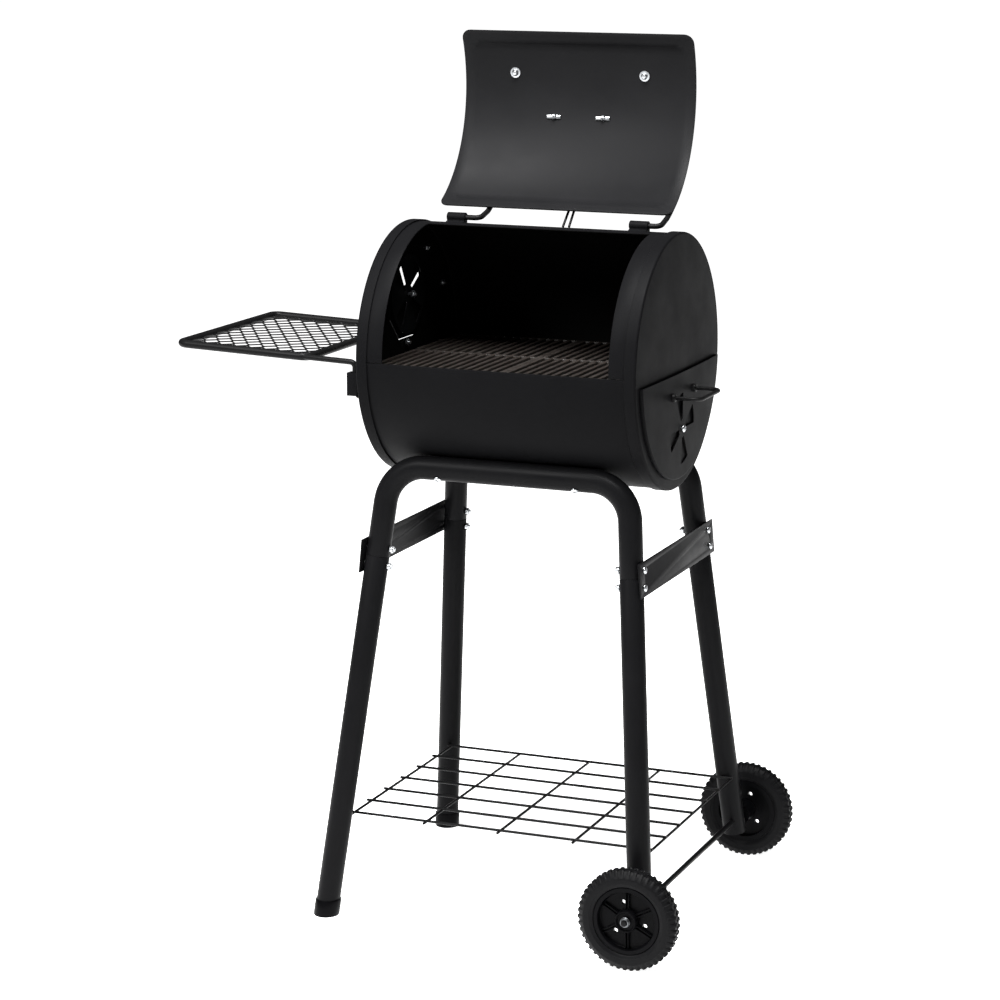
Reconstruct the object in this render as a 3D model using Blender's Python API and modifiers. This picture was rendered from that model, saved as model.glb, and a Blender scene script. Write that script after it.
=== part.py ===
"""Barrel charcoal grill on a tube stand, with the lid open and the ash drawer shut.

X runs along the barrel towards the drawer, Y to the rear and Z up. Every piece is a child of the
empty named grill, whose X shift puts the middle of the whole length over the origin, on the floor.
"""

import math

import bmesh
import bpy
from mathutils import Matrix, Vector

# ---- Driving dimensions, in metres ----
GAP = 0.0003
SHEET = 0.002
ARC_STEP = 10.0
CUTTER_DEPTH = 0.03

BARREL_Z = 0.825
BARREL_RADIUS = 0.185
MOUTH_REAR = 94.0
MOUTH_FRONT = 180.0
MOUTH_STRIP = 0.0234

CAP_EDGE_X = 0.2137
CAP_RIM = 0.0176
CAP_SHOULDER = 0.012
CAP_CROWN = 0.003

DRAWER_PROUD = 0.0055
DRAWER_INSET = 0.0158
DRAWER_DROP = 0.014
DRAWER_OVERLAP = 0.005
TRAY_CLEARANCE = 0.0025
TRAY_DROP = 0.034
TRAY_SHORT = 0.0107

DAMPER_RISE = 0.076
DAMPER_DROP = 0.0973
DAMPER_RADIUS = 0.060
DAMPER_HOLE_INNER = 0.014
DAMPER_HOLE_OUTER = 0.053
DAMPER_HOLE_ANGLE = 33.0
DAMPER_SHUT_TURN = 30.0
DAMPER_HOLE_COUNT = 4

PULL_WIRE = 0.003
PULL_HALF = 0.047
PULL_REACH = 0.041
PULL_DROP = 0.045
PULL_BEND = 0.014

GRATE_DROP = 0.007
GRATE_THICK = 0.008
GRATE_CLEARANCE = 0.009
GRATE_PITCH = 0.0135
GRATE_BAR = 0.006
GRATE_BORDER = 0.007
LEDGE_WIDTH = 0.016
LEDGE_LIP = 0.012
FIRE_GRATE_DROP = 0.085
FIRE_GRATE_THICK = 0.006
FIRE_GRATE_PITCH = 0.025

LID_CLEARANCE = 0.003
LID_SHEET = 0.002
LID_LAP = 0.0103
LID_REAR = 92.0
LID_FRONT = 183.0
LID_BORDER = 0.022
LID_FIELD_REAR = 97.5
LID_FIELD_FRONT = 176.0
LID_FIELD_RISE = 0.002
LID_OPEN_ANGLE = 156.8
HINGE_ANGLE = 83.3
HINGE_STANDOFF = 0.0078
SLEEVE_RADIUS = 0.007
SLEEVE_LENGTH = 0.029
SLEEVE_X = (-0.142, 0.144)
ROD_RADIUS = 0.004
ROD_BEND = 0.009
ROD_ARM_X = (-0.105, 0.176)
ROD_ARM_ANGLES = (96, 101, 106, 111)
STOP_WIRE = 0.002
STOP_BEND = 0.0025
STOP_X = (0.017, 0.0265)
LID_HANDLE_HALF = 0.1026
LID_HANDLE_ANGLE = 163.0
LID_HANDLE_RADIUS = 0.008
LID_HANDLE_REACH = 0.038
LID_HANDLE_BEND = 0.020
PLATE_HALF = (0.052, 0.016)
PLATE_THICK = 0.0015
PLATE_ANGLE = 143.5

LEG_TUBE = 0.0175
LEG_WALL = 0.0015
LEG_FLOOR_X = 0.2478
LEG_FLOOR_Y = 0.2306
LEG_TOP_INSET = 0.0286
LEG_BEND = 0.060
LEG_SEAM_Z = 0.533
SADDLE_ANGLE = 51.5
SADDLE_BOLT_X = 0.1065
SADDLE_NUT_CLEARANCE = 0.0006
FOOT_WALL = 0.0015
FOOT_HEIGHT = 0.024
FOOT_BASE = 0.0115
LEFT_LEG_END_Z = 0.0055
RIGHT_LEG_END_Z = 0.0535

BRACE_HEIGHT = 0.050
BRACE_OVERHANG = 0.003
BRACE_BOLT_RISE = 0.0125
BOLT_SHANK = 0.003
BOLT_HEAD = 0.0055
BOLT_HEAD_HEIGHT = 0.003
NUT_RADIUS = 0.0058
NUT_HEIGHT = 0.005

AXLE_Z = 0.074
AXLE_RADIUS = 0.004
AXLE_OFFSET = 0.0035
AXLE_NUT_RADIUS = 0.0075
WHEEL_WIDTH = 0.031
TYRE_INNER = 0.050
RIM_INNER = 0.042
HUB_BOSS = 0.014
HUB_CLEARANCE = 0.003
HUB_STANDOFF = 0.0368
SPOKE_COUNT = 6

WIRE_RADIUS = 0.002
WIRE_SHELF_Z = 0.1455
WIRE_SHELF_SHIFT = 0.010
WIRE_CLEARANCE = 0.0015
LONG_WIRE_COUNT = 7
CROSS_WIRE_COUNT = 5

SHELF_STANDOFF = 0.0883
SHELF_LENGTH = 0.211
SHELF_HALF = 0.160
SHELF_INNER_Z = 0.8235
SHELF_OUTER_Z = 0.8315
SHELF_TUBE = 0.006
SHELF_CORNER = 0.014
SHELF_MESH_THICK = 0.0016
SHELF_MESH_CELLS = (5, 6)
SHELF_MESH_STRAND = 0.004
SHELF_ROD = 0.00425
SHELF_ROD_BEND = 0.008
SHELF_ROD_STANDOFF = 0.0123
SHELF_ROD_FOOT_STANDOFF = 0.0058
SHELF_ROD_FOOT_Z = 0.769
BRACKET_TOP_Z = 0.806
BRACKET_HEIGHT = 0.034
BRACKET_DEPTH = 0.0195
BRACKET_FLANGE = 0.007
BRACKET_CLEARANCE = 0.001

# ---- Sizes that follow ----
CAP_RADIUS = BARREL_RADIUS + GAP + SHEET
SHELL_END_X = CAP_EDGE_X - CAP_SHOULDER
MOUTH_HALF = CAP_EDGE_X - CAP_RIM - MOUTH_STRIP
GRATE_END_X = CAP_EDGE_X - CAP_SHOULDER + SHEET
GRATE_HALF_DEPTH = BARREL_RADIUS - GRATE_CLEARANCE
DRAWER_RADIUS = CAP_RADIUS - DRAWER_INSET
TRAY_OPENING = DRAWER_RADIUS - DRAWER_OVERLAP
TRAY_RADIUS = TRAY_OPENING - TRAY_CLEARANCE
TRAY_LEFT_X = TRAY_SHORT - CAP_EDGE_X
LID_INNER = BARREL_RADIUS + LID_CLEARANCE
LID_OUTER = LID_INNER + LID_SHEET
LID_HALF = MOUTH_HALF + LID_LAP
LID_FIELD_HALF = LID_HALF - LID_BORDER
FIELD_OUTER = LID_OUTER + LID_FIELD_RISE
HINGE_Y = (BARREL_RADIUS + HINGE_STANDOFF) * math.cos(math.radians(HINGE_ANGLE))
HINGE_RISE = (BARREL_RADIUS + HINGE_STANDOFF) * math.sin(math.radians(HINGE_ANGLE))
HINGE_Z = BARREL_Z + HINGE_RISE
BAR_DISTANCE = BARREL_RADIUS + GAP + LEG_TUBE
FRAME_TOP_Y = BAR_DISTANCE * math.cos(math.radians(SADDLE_ANGLE))
FRAME_TOP_Z = BARREL_Z - BAR_DISTANCE * math.sin(math.radians(SADDLE_ANGLE))
LEG_LEAN_X = (LEG_FLOOR_X - CAP_EDGE_X + LEG_TOP_INSET) / FRAME_TOP_Z
LEG_LEAN_Y = (LEG_FLOOR_Y - FRAME_TOP_Y) / FRAME_TOP_Z
BRACE_HALF = LEG_FLOOR_Y - LEG_LEAN_Y * LEG_SEAM_Z + LEG_TUBE + BRACE_OVERHANG
DRAWER_EDGE_X = CAP_EDGE_X + DRAWER_PROUD
PULL_ROOT_X = DRAWER_EDGE_X + CAP_CROWN
AXLE_X = LEG_FLOOR_X - LEG_LEAN_X * AXLE_Z + AXLE_OFFSET
HUB_INNER_Y = LEG_FLOOR_Y - LEG_LEAN_Y * AXLE_Z + LEG_TUBE + HUB_CLEARANCE
WHEEL_Y = HUB_INNER_Y + HUB_STANDOFF
WIRE_SHELF_HALF_X = LEG_FLOOR_X - LEG_LEAN_X * WIRE_SHELF_Z
WIRE_SHELF_LEG_Y = LEG_FLOOR_Y - LEG_LEAN_Y * WIRE_SHELF_Z
WIRE_SHELF_HALF_Y = WIRE_SHELF_LEG_Y - LEG_TUBE - WIRE_RADIUS - WIRE_CLEARANCE
SHELF_INNER_X = CAP_EDGE_X + SHELF_STANDOFF
SHELF_OUTER_X = SHELF_INNER_X + SHELF_LENGTH
SHELF_ROD_X = CAP_EDGE_X + SHELF_ROD_STANDOFF
SHELF_ROD_FOOT_X = CAP_EDGE_X + SHELF_ROD_FOOT_STANDOFF
SIDES = (("left", -1), ("right", 1))
DEPTHS = (("front", -1), ("rear", 1))

IN_YZ = (math.radians(90), 0, math.radians(90))
IN_XZ = (math.radians(90), 0, 0)
IN_XY = (0, 0, 0)

FINISHES = {
    "black_paint": ((0.020, 0.020, 0.021), 0.55, 0.0),
    "cast_iron": ((0.025, 0.021, 0.019), 0.70, 0.4),
    "black_plastic": ((0.016, 0.016, 0.017), 0.50, 0.0),
    "zinc_steel": ((0.60, 0.60, 0.61), 0.35, 1.0),
}


# ---- Scene and object helpers ----
def clear_scene():
    for old in list(bpy.data.objects):
        bpy.data.objects.remove(old)


def new_collection(name):
    collection = bpy.data.collections.new(name)
    bpy.context.scene.collection.children.link(collection)
    return collection


def finish(name, key):
    """A material of the piece's own, in one of the object's finishes."""
    colour, roughness, metallic = FINISHES[key]
    material = bpy.data.materials.new(f"{name}_{key}")
    material.use_nodes = True
    shader = material.node_tree.nodes["Principled BSDF"]
    shader.inputs["Base Color"].default_value = (*colour, 1)
    shader.inputs["Roughness"].default_value = roughness
    shader.inputs["Metallic"].default_value = metallic
    return material


def put(name, data, key, parent, place=(0, 0, 0), turn=(0, 0, 0)):
    """An object of this mesh or curve in the grill's collection."""
    piece = bpy.data.objects.new(name, data)
    PIECES.objects.link(piece)
    piece.parent = parent
    piece.location = place
    piece.rotation_euler = turn
    if key:
        data.materials.append(finish(name, key))
    return piece


def as_cutter(piece):
    """Moves a helper to the cutters' collection, out of the render."""
    PIECES.objects.unlink(piece)
    CUTTERS.objects.link(piece)
    piece.hide_render = True
    piece.display_type = "WIRE"
    return piece


def combine(piece, other, operation):
    modifier = piece.modifiers.new(f"{operation.lower()}_{other.name}", "BOOLEAN")
    modifier.operation = operation
    modifier.solver = "EXACT"
    modifier.object = other


def cut(piece, *cutters):
    for cutter in cutters:
        combine(piece, cutter, "DIFFERENCE")


def join(piece, *others):
    for other in others:
        combine(piece, as_cutter(other), "UNION")


def empty(name, parent, place=(0, 0, 0), turn=(0, 0, 0)):
    pivot = bpy.data.objects.new(name, None)
    PIECES.objects.link(pivot)
    pivot.parent = parent
    pivot.location = place
    pivot.rotation_euler = turn
    return pivot


def smooth(mesh, angle=30):
    mesh.shade_smooth()
    mesh.set_sharp_from_angle(angle=math.radians(angle))


def to_mesh(piece):
    """Makes a curve object a mesh object with its caps welded, in the same place."""
    bpy.context.view_layer.update()
    evaluated = piece.evaluated_get(bpy.context.evaluated_depsgraph_get())
    mesh = bpy.data.meshes.new_from_object(evaluated)
    shape = bmesh.new()
    shape.from_mesh(mesh)
    bmesh.ops.remove_doubles(shape, verts=shape.verts, dist=1e-6)
    bmesh.ops.recalc_face_normals(shape, faces=shape.faces)
    shape.to_mesh(mesh)
    shape.free()
    name, parent = piece.name, piece.parent
    place, turn = piece.location.copy(), piece.rotation_euler.copy()
    bpy.data.objects.remove(piece)
    made = put(name, mesh, None, parent, place, turn)
    smooth(mesh)
    return made


# ---- Shapes ----
def facet_stops(start, end):
    """Angles from start to end, with every multiple of the arc step between them."""
    first = math.floor(start / ARC_STEP) + 1
    inner = [k * ARC_STEP for k in range(first, math.ceil(end / ARC_STEP))]
    return [start, *inner, end]


def on_facet(radius, angle):
    """The distance from the axis to the many-sided section of this radius, at an angle."""
    past_corner = math.radians(angle % ARC_STEP)
    half = math.radians(ARC_STEP) / 2
    return radius * math.cos(half) / math.cos(past_corner - half)


def polar(radius, angle, height=BARREL_Z):
    """(y, z) at a distance from the barrel's axis. Angle 0 is the rear and 90 the top."""
    turn = math.radians(angle)
    return radius * math.cos(turn), height + radius * math.sin(turn)


def arc(radius, start, end, centre=(0, 0), count=None):
    """Outline points of an arc round a centre, from one angle to another."""
    steps = count or max(2, round(abs(end - start) / ARC_STEP))
    angles = [math.radians(start + (end - start) * k / steps) for k in range(steps + 1)]
    return [(centre[0] + radius * math.cos(a), centre[1] + radius * math.sin(a)) for a in angles]


def circle(radius, count, centre=(0, 0)):
    return arc(radius, 0, 360, centre, count)[:-1]


def rectangle(low, high):
    return [low, (high[0], low[1]), high, (low[0], high[1])]


def rounded_rectangle(half_u, half_v, radius):
    """A rectangle round the middle, with its corners rounded."""
    u, v = half_u - radius, half_v - radius
    corners = (((u, v), 0), ((-u, v), 90), ((-u, -v), 180), ((u, -v), 270))
    return [p for centre, start in corners for p in arc(radius, start, start + 90, centre, 3)]


def sheet(name, key, parent, xs, angles, radius_at, thickness, offset=(0, 0)):
    """A bent sheet round the barrel's axis: a grid laid on the arc, then given its thickness."""
    columns, rows = len(xs) - 1, len(angles) - 1
    shape = bmesh.new()
    bmesh.ops.create_grid(shape, x_segments=columns, y_segments=rows, size=1)
    for vert in shape.verts:
        x = xs[round((vert.co.x + 1) / 2 * columns)]
        angle = angles[round((vert.co.y + 1) / 2 * rows)]
        y, z = polar(radius_at(x, angle), angle, 0)
        vert.co = (x, y - offset[0], z - offset[1])
    bmesh.ops.reverse_faces(shape, faces=shape.faces)
    mesh = bpy.data.meshes.new(name)
    shape.to_mesh(mesh)
    shape.free()
    smooth(mesh)
    piece = put(name, mesh, key, parent)
    wall = piece.modifiers.new("wall", "SOLIDIFY")
    wall.thickness = thickness
    wall.offset = -1
    wall.use_even_offset = True
    return piece


def turned(name, key, parent, profile, steps, place=(0, 0, 0), turn=(0, 0, 0)):
    """A profile of (radius, height) points, top to bottom, turned about its own Z."""
    mesh = bpy.data.meshes.new(name)
    points = [(radius, 0, height) for radius, height in profile]
    mesh.from_pydata(points, [(k, k + 1) for k in range(len(points) - 1)], [])
    piece = put(name, mesh, key, parent, place, turn)
    screw = piece.modifiers.new("turn", "SCREW")
    screw.steps = screw.render_steps = steps
    screw.use_merge_vertices = True
    screw.merge_threshold = 1e-5
    screw.use_smooth_shade = True
    return piece


def tube(name, key, parent, points, radius, detail=2):
    """A round bar through these points, with filled ends."""
    curve = bpy.data.curves.new(name, "CURVE")
    curve.dimensions = "3D"
    curve.bevel_depth = radius
    curve.bevel_resolution = detail
    curve.use_fill_caps = True
    spline = curve.splines.new("POLY")
    spline.points.add(len(points) - 1)
    for slot, point in zip(spline.points, points):
        slot.co = (*point, 1)
    return put(name, curve, key, parent)


def plate(name, key, parent, outlines, thickness, place=(0, 0, 0), turn=IN_XY):
    """A flat outline with any holes inside it, given its thickness both ways from its plane."""
    curve = bpy.data.curves.new(name, "CURVE")
    curve.dimensions = "2D"
    curve.fill_mode = "BOTH"
    curve.extrude = thickness / 2
    for outline in outlines:
        spline = curve.splines.new("POLY")
        spline.points.add(len(outline) - 1)
        for slot, (u, v) in zip(spline.points, outline):
            slot.co = (u, v, 0, 1)
        spline.use_cyclic_u = True
    return to_mesh(put(name, curve, key, parent, place, turn))


def rod(name, key, parent, centre, direction, radius, length, count=10):
    """A straight round bar, from a cylinder primitive."""
    shape = bmesh.new()
    bmesh.ops.create_cone(
        shape, cap_ends=True, segments=count, radius1=radius, radius2=radius, depth=length
    )
    mesh = bpy.data.meshes.new(name)
    shape.to_mesh(mesh)
    shape.free()
    smooth(mesh)
    turn = Vector(direction).to_track_quat("Z", "Y").to_euler()
    return put(name, mesh, key, parent, centre, turn)


def block(name, parent, low, high):
    """A plain box for cutting with, between two corners."""
    shape = bmesh.new()
    bmesh.ops.create_cube(shape, size=1)
    size = Vector(high) - Vector(low)
    centre = (Vector(high) + Vector(low)) / 2
    bmesh.ops.transform(shape, verts=shape.verts, matrix=Matrix.Diagonal(size).to_4x4())
    mesh = bpy.data.meshes.new(name)
    shape.to_mesh(mesh)
    shape.free()
    return as_cutter(put(name, mesh, None, parent, centre))


def bend(points, radius, steps=5):
    """The same route with each inner corner rounded to a radius."""
    route = [Vector(points[0])]
    for before, corner, after in zip(points, points[1:], points[2:]):
        corner = Vector(corner)
        back = (Vector(before) - corner).normalized()
        ahead = (Vector(after) - corner).normalized()
        half = back.angle(ahead) / 2
        centre = corner + (back + ahead).normalized() * (radius / math.sin(half))
        start = corner + back * (radius / math.tan(half)) - centre
        stop = corner + ahead * (radius / math.tan(half)) - centre
        turns = [start.slerp(stop, k / steps).normalized() for k in range(steps + 1)]
        route += [centre + turn * radius for turn in turns]
    return [*route, Vector(points[-1])]


def hollow(piece, radius, wall, points):
    """Opens a bent tube from end to end: its bore runs on past both ends."""
    points = [Vector(point) for point in points]
    lead = 0.002
    points[0] = points[0] + (points[0] - points[1]).normalized() * lead
    points[-1] = points[-1] + (points[-1] - points[-2]).normalized() * lead
    bore = to_mesh(tube(f"{piece.name}_bore", None, piece.parent, points, radius - wall))
    cut(piece, as_cutter(bore))


# ---- Fasteners ----
def bolt(name, parent, seat, direction, grip, nut=True):
    """A pan-head bolt: its head sits at seat and points along direction, its nut past the grip."""
    head = [(0, BOLT_HEAD_HEIGHT), (BOLT_HEAD * 0.7, BOLT_HEAD_HEIGHT), (BOLT_HEAD, GAP)]
    stem = [(BOLT_SHANK, GAP), (BOLT_SHANK, -grip - GAP)]
    if nut:
        stem += [(NUT_RADIUS, -grip - GAP), (NUT_RADIUS, -grip - NUT_HEIGHT)]
    tail = [(BOLT_SHANK, -grip - NUT_HEIGHT), (BOLT_SHANK, -grip - NUT_HEIGHT - 0.003)]
    profile = [*head, *stem, *(tail if nut else []), (0, (tail if nut else stem)[-1][1])]
    turn = Vector(direction).to_track_quat("Z", "Y").to_euler()
    return turned(name, "zinc_steel", parent, profile, 8, seat, turn)


def bolt_hole(name, parent, seat, direction, reach):
    """A cutter for the shank of a bolt: it runs from just outside the seat to the reach."""
    along = Vector(direction).normalized()
    lead = 0.002
    centre = Vector(seat) - along * (reach - lead) / 2
    return as_cutter(
        rod(name, None, parent, centre, along, BOLT_SHANK + GAP, reach + lead, 8)
    )


# ---- Barrel ----
def barrel_radius(x, angle):
    return on_facet(BARREL_RADIUS, angle)


def build_shell(grill):
    """The barrel's sheet, open at the front top, and the two strips at the sides of the mouth."""
    place = (0, -BARREL_Z)
    stops = facet_stops(MOUTH_FRONT, MOUTH_REAR + 360)
    ends = [-SHELL_END_X, SHELL_END_X]
    shell = sheet("body_shell", "black_paint", grill, ends, stops, barrel_radius, SHEET, place)
    slip = math.degrees(2 * GAP / BARREL_RADIUS)
    stops = facet_stops(MOUTH_REAR + slip, MOUTH_FRONT - slip)
    for side, sign in SIDES:
        xs = sorted((sign * MOUTH_HALF, sign * SHELL_END_X))
        name = f"{side}_mouth_strip"
        sheet(name, "black_paint", grill, xs, stops, barrel_radius, SHEET, place)
    return shell


def cap_profile(radius, edge_x, shoulder, depth, thickness):
    """Half the section of a pressed end: crowned face, round shoulder and rim, then back inside."""
    flat = radius - shoulder
    crown = [(flat * k, edge_x + CAP_CROWN * (1 - k**2)) for k in (0, 0.5)]
    outer = arc(shoulder, 90, 0, (flat, edge_x - shoulder), 2)
    inner = arc(shoulder - thickness, 0, 90, (flat, edge_x - shoulder), 2)
    rim = [(radius, edge_x - depth), (radius - thickness, edge_x - depth)]
    back = [(r, x - thickness) for r, x in reversed(crown)]
    return [*crown, *outer, *rim, *inner, *back]


def half_round(radius, drop):
    """The outline of a circle's lower part, below a chord that lies this far under its centre."""
    dip = math.degrees(math.asin(drop / radius))
    stops = [180 + dip, *facet_stops(180 + dip, 360 - dip)[1:-1], 360 - dip]
    return [polar(radius, angle, 0) for angle in stops]


def wedge_holes(turn=0.0):
    """Outlines of the draught holes round a damper's centre."""
    holes = []
    for k in range(DAMPER_HOLE_COUNT):
        start = turn + k * 360 / DAMPER_HOLE_COUNT
        end = start + DAMPER_HOLE_ANGLE
        outer = arc(DAMPER_HOLE_OUTER, start, end, count=3)
        holes.append(outer + arc(DAMPER_HOLE_INNER, end, start, count=1))
    return holes


def cut_draught_holes(piece, parent, x, height):
    for k, outline in enumerate(wedge_holes()):
        name = f"{piece.name}_draught_{k}"
        cut(piece, as_cutter(plate(name, None, parent, [outline], CUTTER_DEPTH, (x, 0, height), IN_YZ)))


def build_damper(name, root, parent, face, x, height, outward):
    """A turning disc behind the draught holes of a face, and the bolt that it turns on."""
    cut_draught_holes(face, root, x, height)
    pivot = empty(f"{name}_pivot", parent, (x - parent_offset(parent), 0, height))
    seat = (x + outward * (CAP_CROWN + SHEET + 0.001), 0, height)
    seat_here = (seat[0] - parent_offset(parent), 0, height)
    axis = (outward, 0, 0)
    grip = CAP_CROWN + 3 * SHEET + 0.002
    cut(face, bolt_hole(f"{name}_hole", root, seat, axis, grip + 0.01))
    bolt(f"{name}_bolt", parent, seat_here, axis, grip)
    outlines = [circle(DAMPER_RADIUS, 24), circle(BOLT_SHANK + 2 * GAP, 10)]
    outlines += wedge_holes(DAMPER_SHUT_TURN)
    plate(f"{name}_disc", "black_paint", pivot, outlines, SHEET, turn=IN_YZ)


def parent_offset(parent):
    """How far along X a moving body's own origin lies from the grill's."""
    return 0 if parent.name == "grill" else parent.location.x


def build_left_end(grill):
    profile = cap_profile(CAP_RADIUS, CAP_EDGE_X, CAP_SHOULDER, CAP_RIM, SHEET)
    place = (0, 0, BARREL_Z)
    turn = (0, math.radians(-90), 0)
    steps = round(360 / ARC_STEP)
    cap = turned("left_end_cap", "black_paint", grill, profile, steps, place, turn)
    disc_x = -(CAP_EDGE_X - 1.5 * SHEET - GAP)
    build_damper("left_damper", grill, grill, cap, disc_x, BARREL_Z + DAMPER_RISE, -1)


def build_right_end(grill):
    profile = cap_profile(CAP_RADIUS, CAP_EDGE_X, CAP_SHOULDER, CAP_RIM, SHEET)
    place = (0, 0, BARREL_Z)
    turn = (0, math.radians(90), 0)
    steps = round(360 / ARC_STEP)
    cap = turned("right_end_cap", "black_paint", grill, profile, steps, place, turn)
    outline = half_round(TRAY_OPENING, DRAWER_DROP + DRAWER_OVERLAP)
    centre = (CAP_EDGE_X, 0, BARREL_Z)
    cut(cap, as_cutter(plate("drawer_mouth", None, grill, [outline], CUTTER_DEPTH, centre, IN_YZ)))


def build_drawer(grill):
    """The ash drawer: front, tray, pull and damper, with the fire grate that lies in it."""
    drawer = empty("ash_drawer", grill, (CAP_EDGE_X, 0, 0))
    depth = DRAWER_PROUD - GAP
    profile = cap_profile(DRAWER_RADIUS, DRAWER_EDGE_X - CAP_EDGE_X, depth, depth, SHEET)
    steps = round(360 / ARC_STEP)
    turn = (0, math.radians(90), 0)
    front = turned(
        "drawer_front", "black_paint", drawer, profile, steps, (0, 0, BARREL_Z), turn
    )
    reach = 2 * DRAWER_RADIUS
    low = (-reach, -reach, BARREL_Z - DRAWER_DROP)
    cut(front, block("drawer_front_top", drawer, low, (reach, reach, BARREL_Z + reach)))

    tray_end = DRAWER_PROUD - SHEET - GAP
    length = tray_end - (TRAY_LEFT_X - CAP_EDGE_X)
    centre = (tray_end - length / 2, 0, BARREL_Z)
    outline = half_round(TRAY_RADIUS, TRAY_DROP)
    tray = plate("ash_tray", "black_paint", drawer, [outline], length, centre, IN_YZ)
    outline = half_round(TRAY_RADIUS - SHEET, SHEET)
    centre = (tray_end - length / 2 + SHEET, 0, BARREL_Z)
    cut(tray, as_cutter(plate("tray_hollow", None, drawer, [outline], length, centre, IN_YZ)))

    root_x = PULL_ROOT_X - CAP_EDGE_X + GAP
    height = BARREL_Z - PULL_DROP
    tip = root_x + PULL_REACH
    route = [(root_x, -PULL_HALF, height), (tip, -PULL_HALF, height)]
    route += [(x, -y, z) for x, y, z in reversed(route)]
    tube("drawer_pull", "black_paint", drawer, bend(route, PULL_BEND, 4), PULL_WIRE)

    disc_x = CAP_EDGE_X + DRAWER_PROUD - 1.5 * SHEET - GAP
    build_damper("drawer_damper", grill, drawer, front, disc_x, BARREL_Z - DAMPER_DROP, 1)

    half_depth = math.sqrt((TRAY_RADIUS - SHEET) ** 2 - (FIRE_GRATE_DROP + FIRE_GRATE_THICK) ** 2)
    half_depth = half_depth * math.cos(math.radians(ARC_STEP / 2)) - GAP
    low = (TRAY_LEFT_X + 3 * SHEET - CAP_EDGE_X, -half_depth)
    high = (-0.012, half_depth)
    outlines = grate_outlines(low, high, FIRE_GRATE_PITCH, rows=2)
    centre = (0, 0, BARREL_Z - FIRE_GRATE_DROP - FIRE_GRATE_THICK / 2)
    plate("fire_grate", "cast_iron", drawer, outlines, FIRE_GRATE_THICK, centre)


def grate_outlines(low, high, pitch, rows):
    """A frame with bars along Y at a pitch, held by ribs into this many rows of slots."""
    count = round((high[0] - low[0] - 2 * GRATE_BORDER) / pitch)
    step = (high[0] - low[0] - 2 * GRATE_BORDER + GRATE_BAR) / count
    row = (high[1] - low[1] - 2 * GRATE_BORDER + GRATE_BAR) / rows
    outlines = [rectangle(low, high)]
    for i in range(count):
        for j in range(rows):
            u = low[0] + GRATE_BORDER + i * step
            v = low[1] + GRATE_BORDER + j * row
            outlines.append(rectangle((u, v), (u + step - GRATE_BAR, v + row - GRATE_BAR)))
    return outlines


def build_grates(grill):
    """Two cooking grates side by side, and the ledges inside the barrel that they rest on."""
    top = BARREL_Z - GRATE_DROP
    for side, sign in SIDES:
        xs = sorted((sign * GAP, sign * GRATE_END_X))
        low, high = (xs[0], -GRATE_HALF_DEPTH), (xs[1], GRATE_HALF_DEPTH)
        outlines = grate_outlines(low, high, GRATE_PITCH, rows=2)
        centre = (0, 0, top - GRATE_THICK / 2)
        plate(f"{side}_cooking_grate", "cast_iron", grill, outlines, GRATE_THICK, centre)
    seat = GRATE_DROP + GRATE_THICK + GAP
    inner = (BARREL_RADIUS - SHEET) * math.cos(math.radians(ARC_STEP / 2))
    wall = math.sqrt(inner**2 - (seat + SHEET) ** 2) - GAP
    for side, sign in DEPTHS:
        shape = [(wall, -seat), (wall - LEDGE_WIDTH, -seat), (wall - LEDGE_WIDTH, -seat - LEDGE_LIP)]
        shape += [(wall - LEDGE_WIDTH + SHEET, -seat - LEDGE_LIP)]
        shape += [(wall - LEDGE_WIDTH + SHEET, -seat - SHEET), (wall, -seat - SHEET)]
        outline = [(sign * y, z) for y, z in shape]
        centre = (0, 0, BARREL_Z)
        name = f"{side}_grate_ledge"
        plate(name, "black_paint", grill, [outline], 2 * GRATE_END_X, centre, IN_YZ)


# ---- Lid ----
def lid_radius(x, angle):
    """The lid's outer face: a pressed field stands proud inside a plain border."""
    inside = abs(x) < LID_FIELD_HALF and LID_FIELD_REAR < angle < LID_FIELD_FRONT
    return FIELD_OUTER if inside else LID_OUTER


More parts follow.
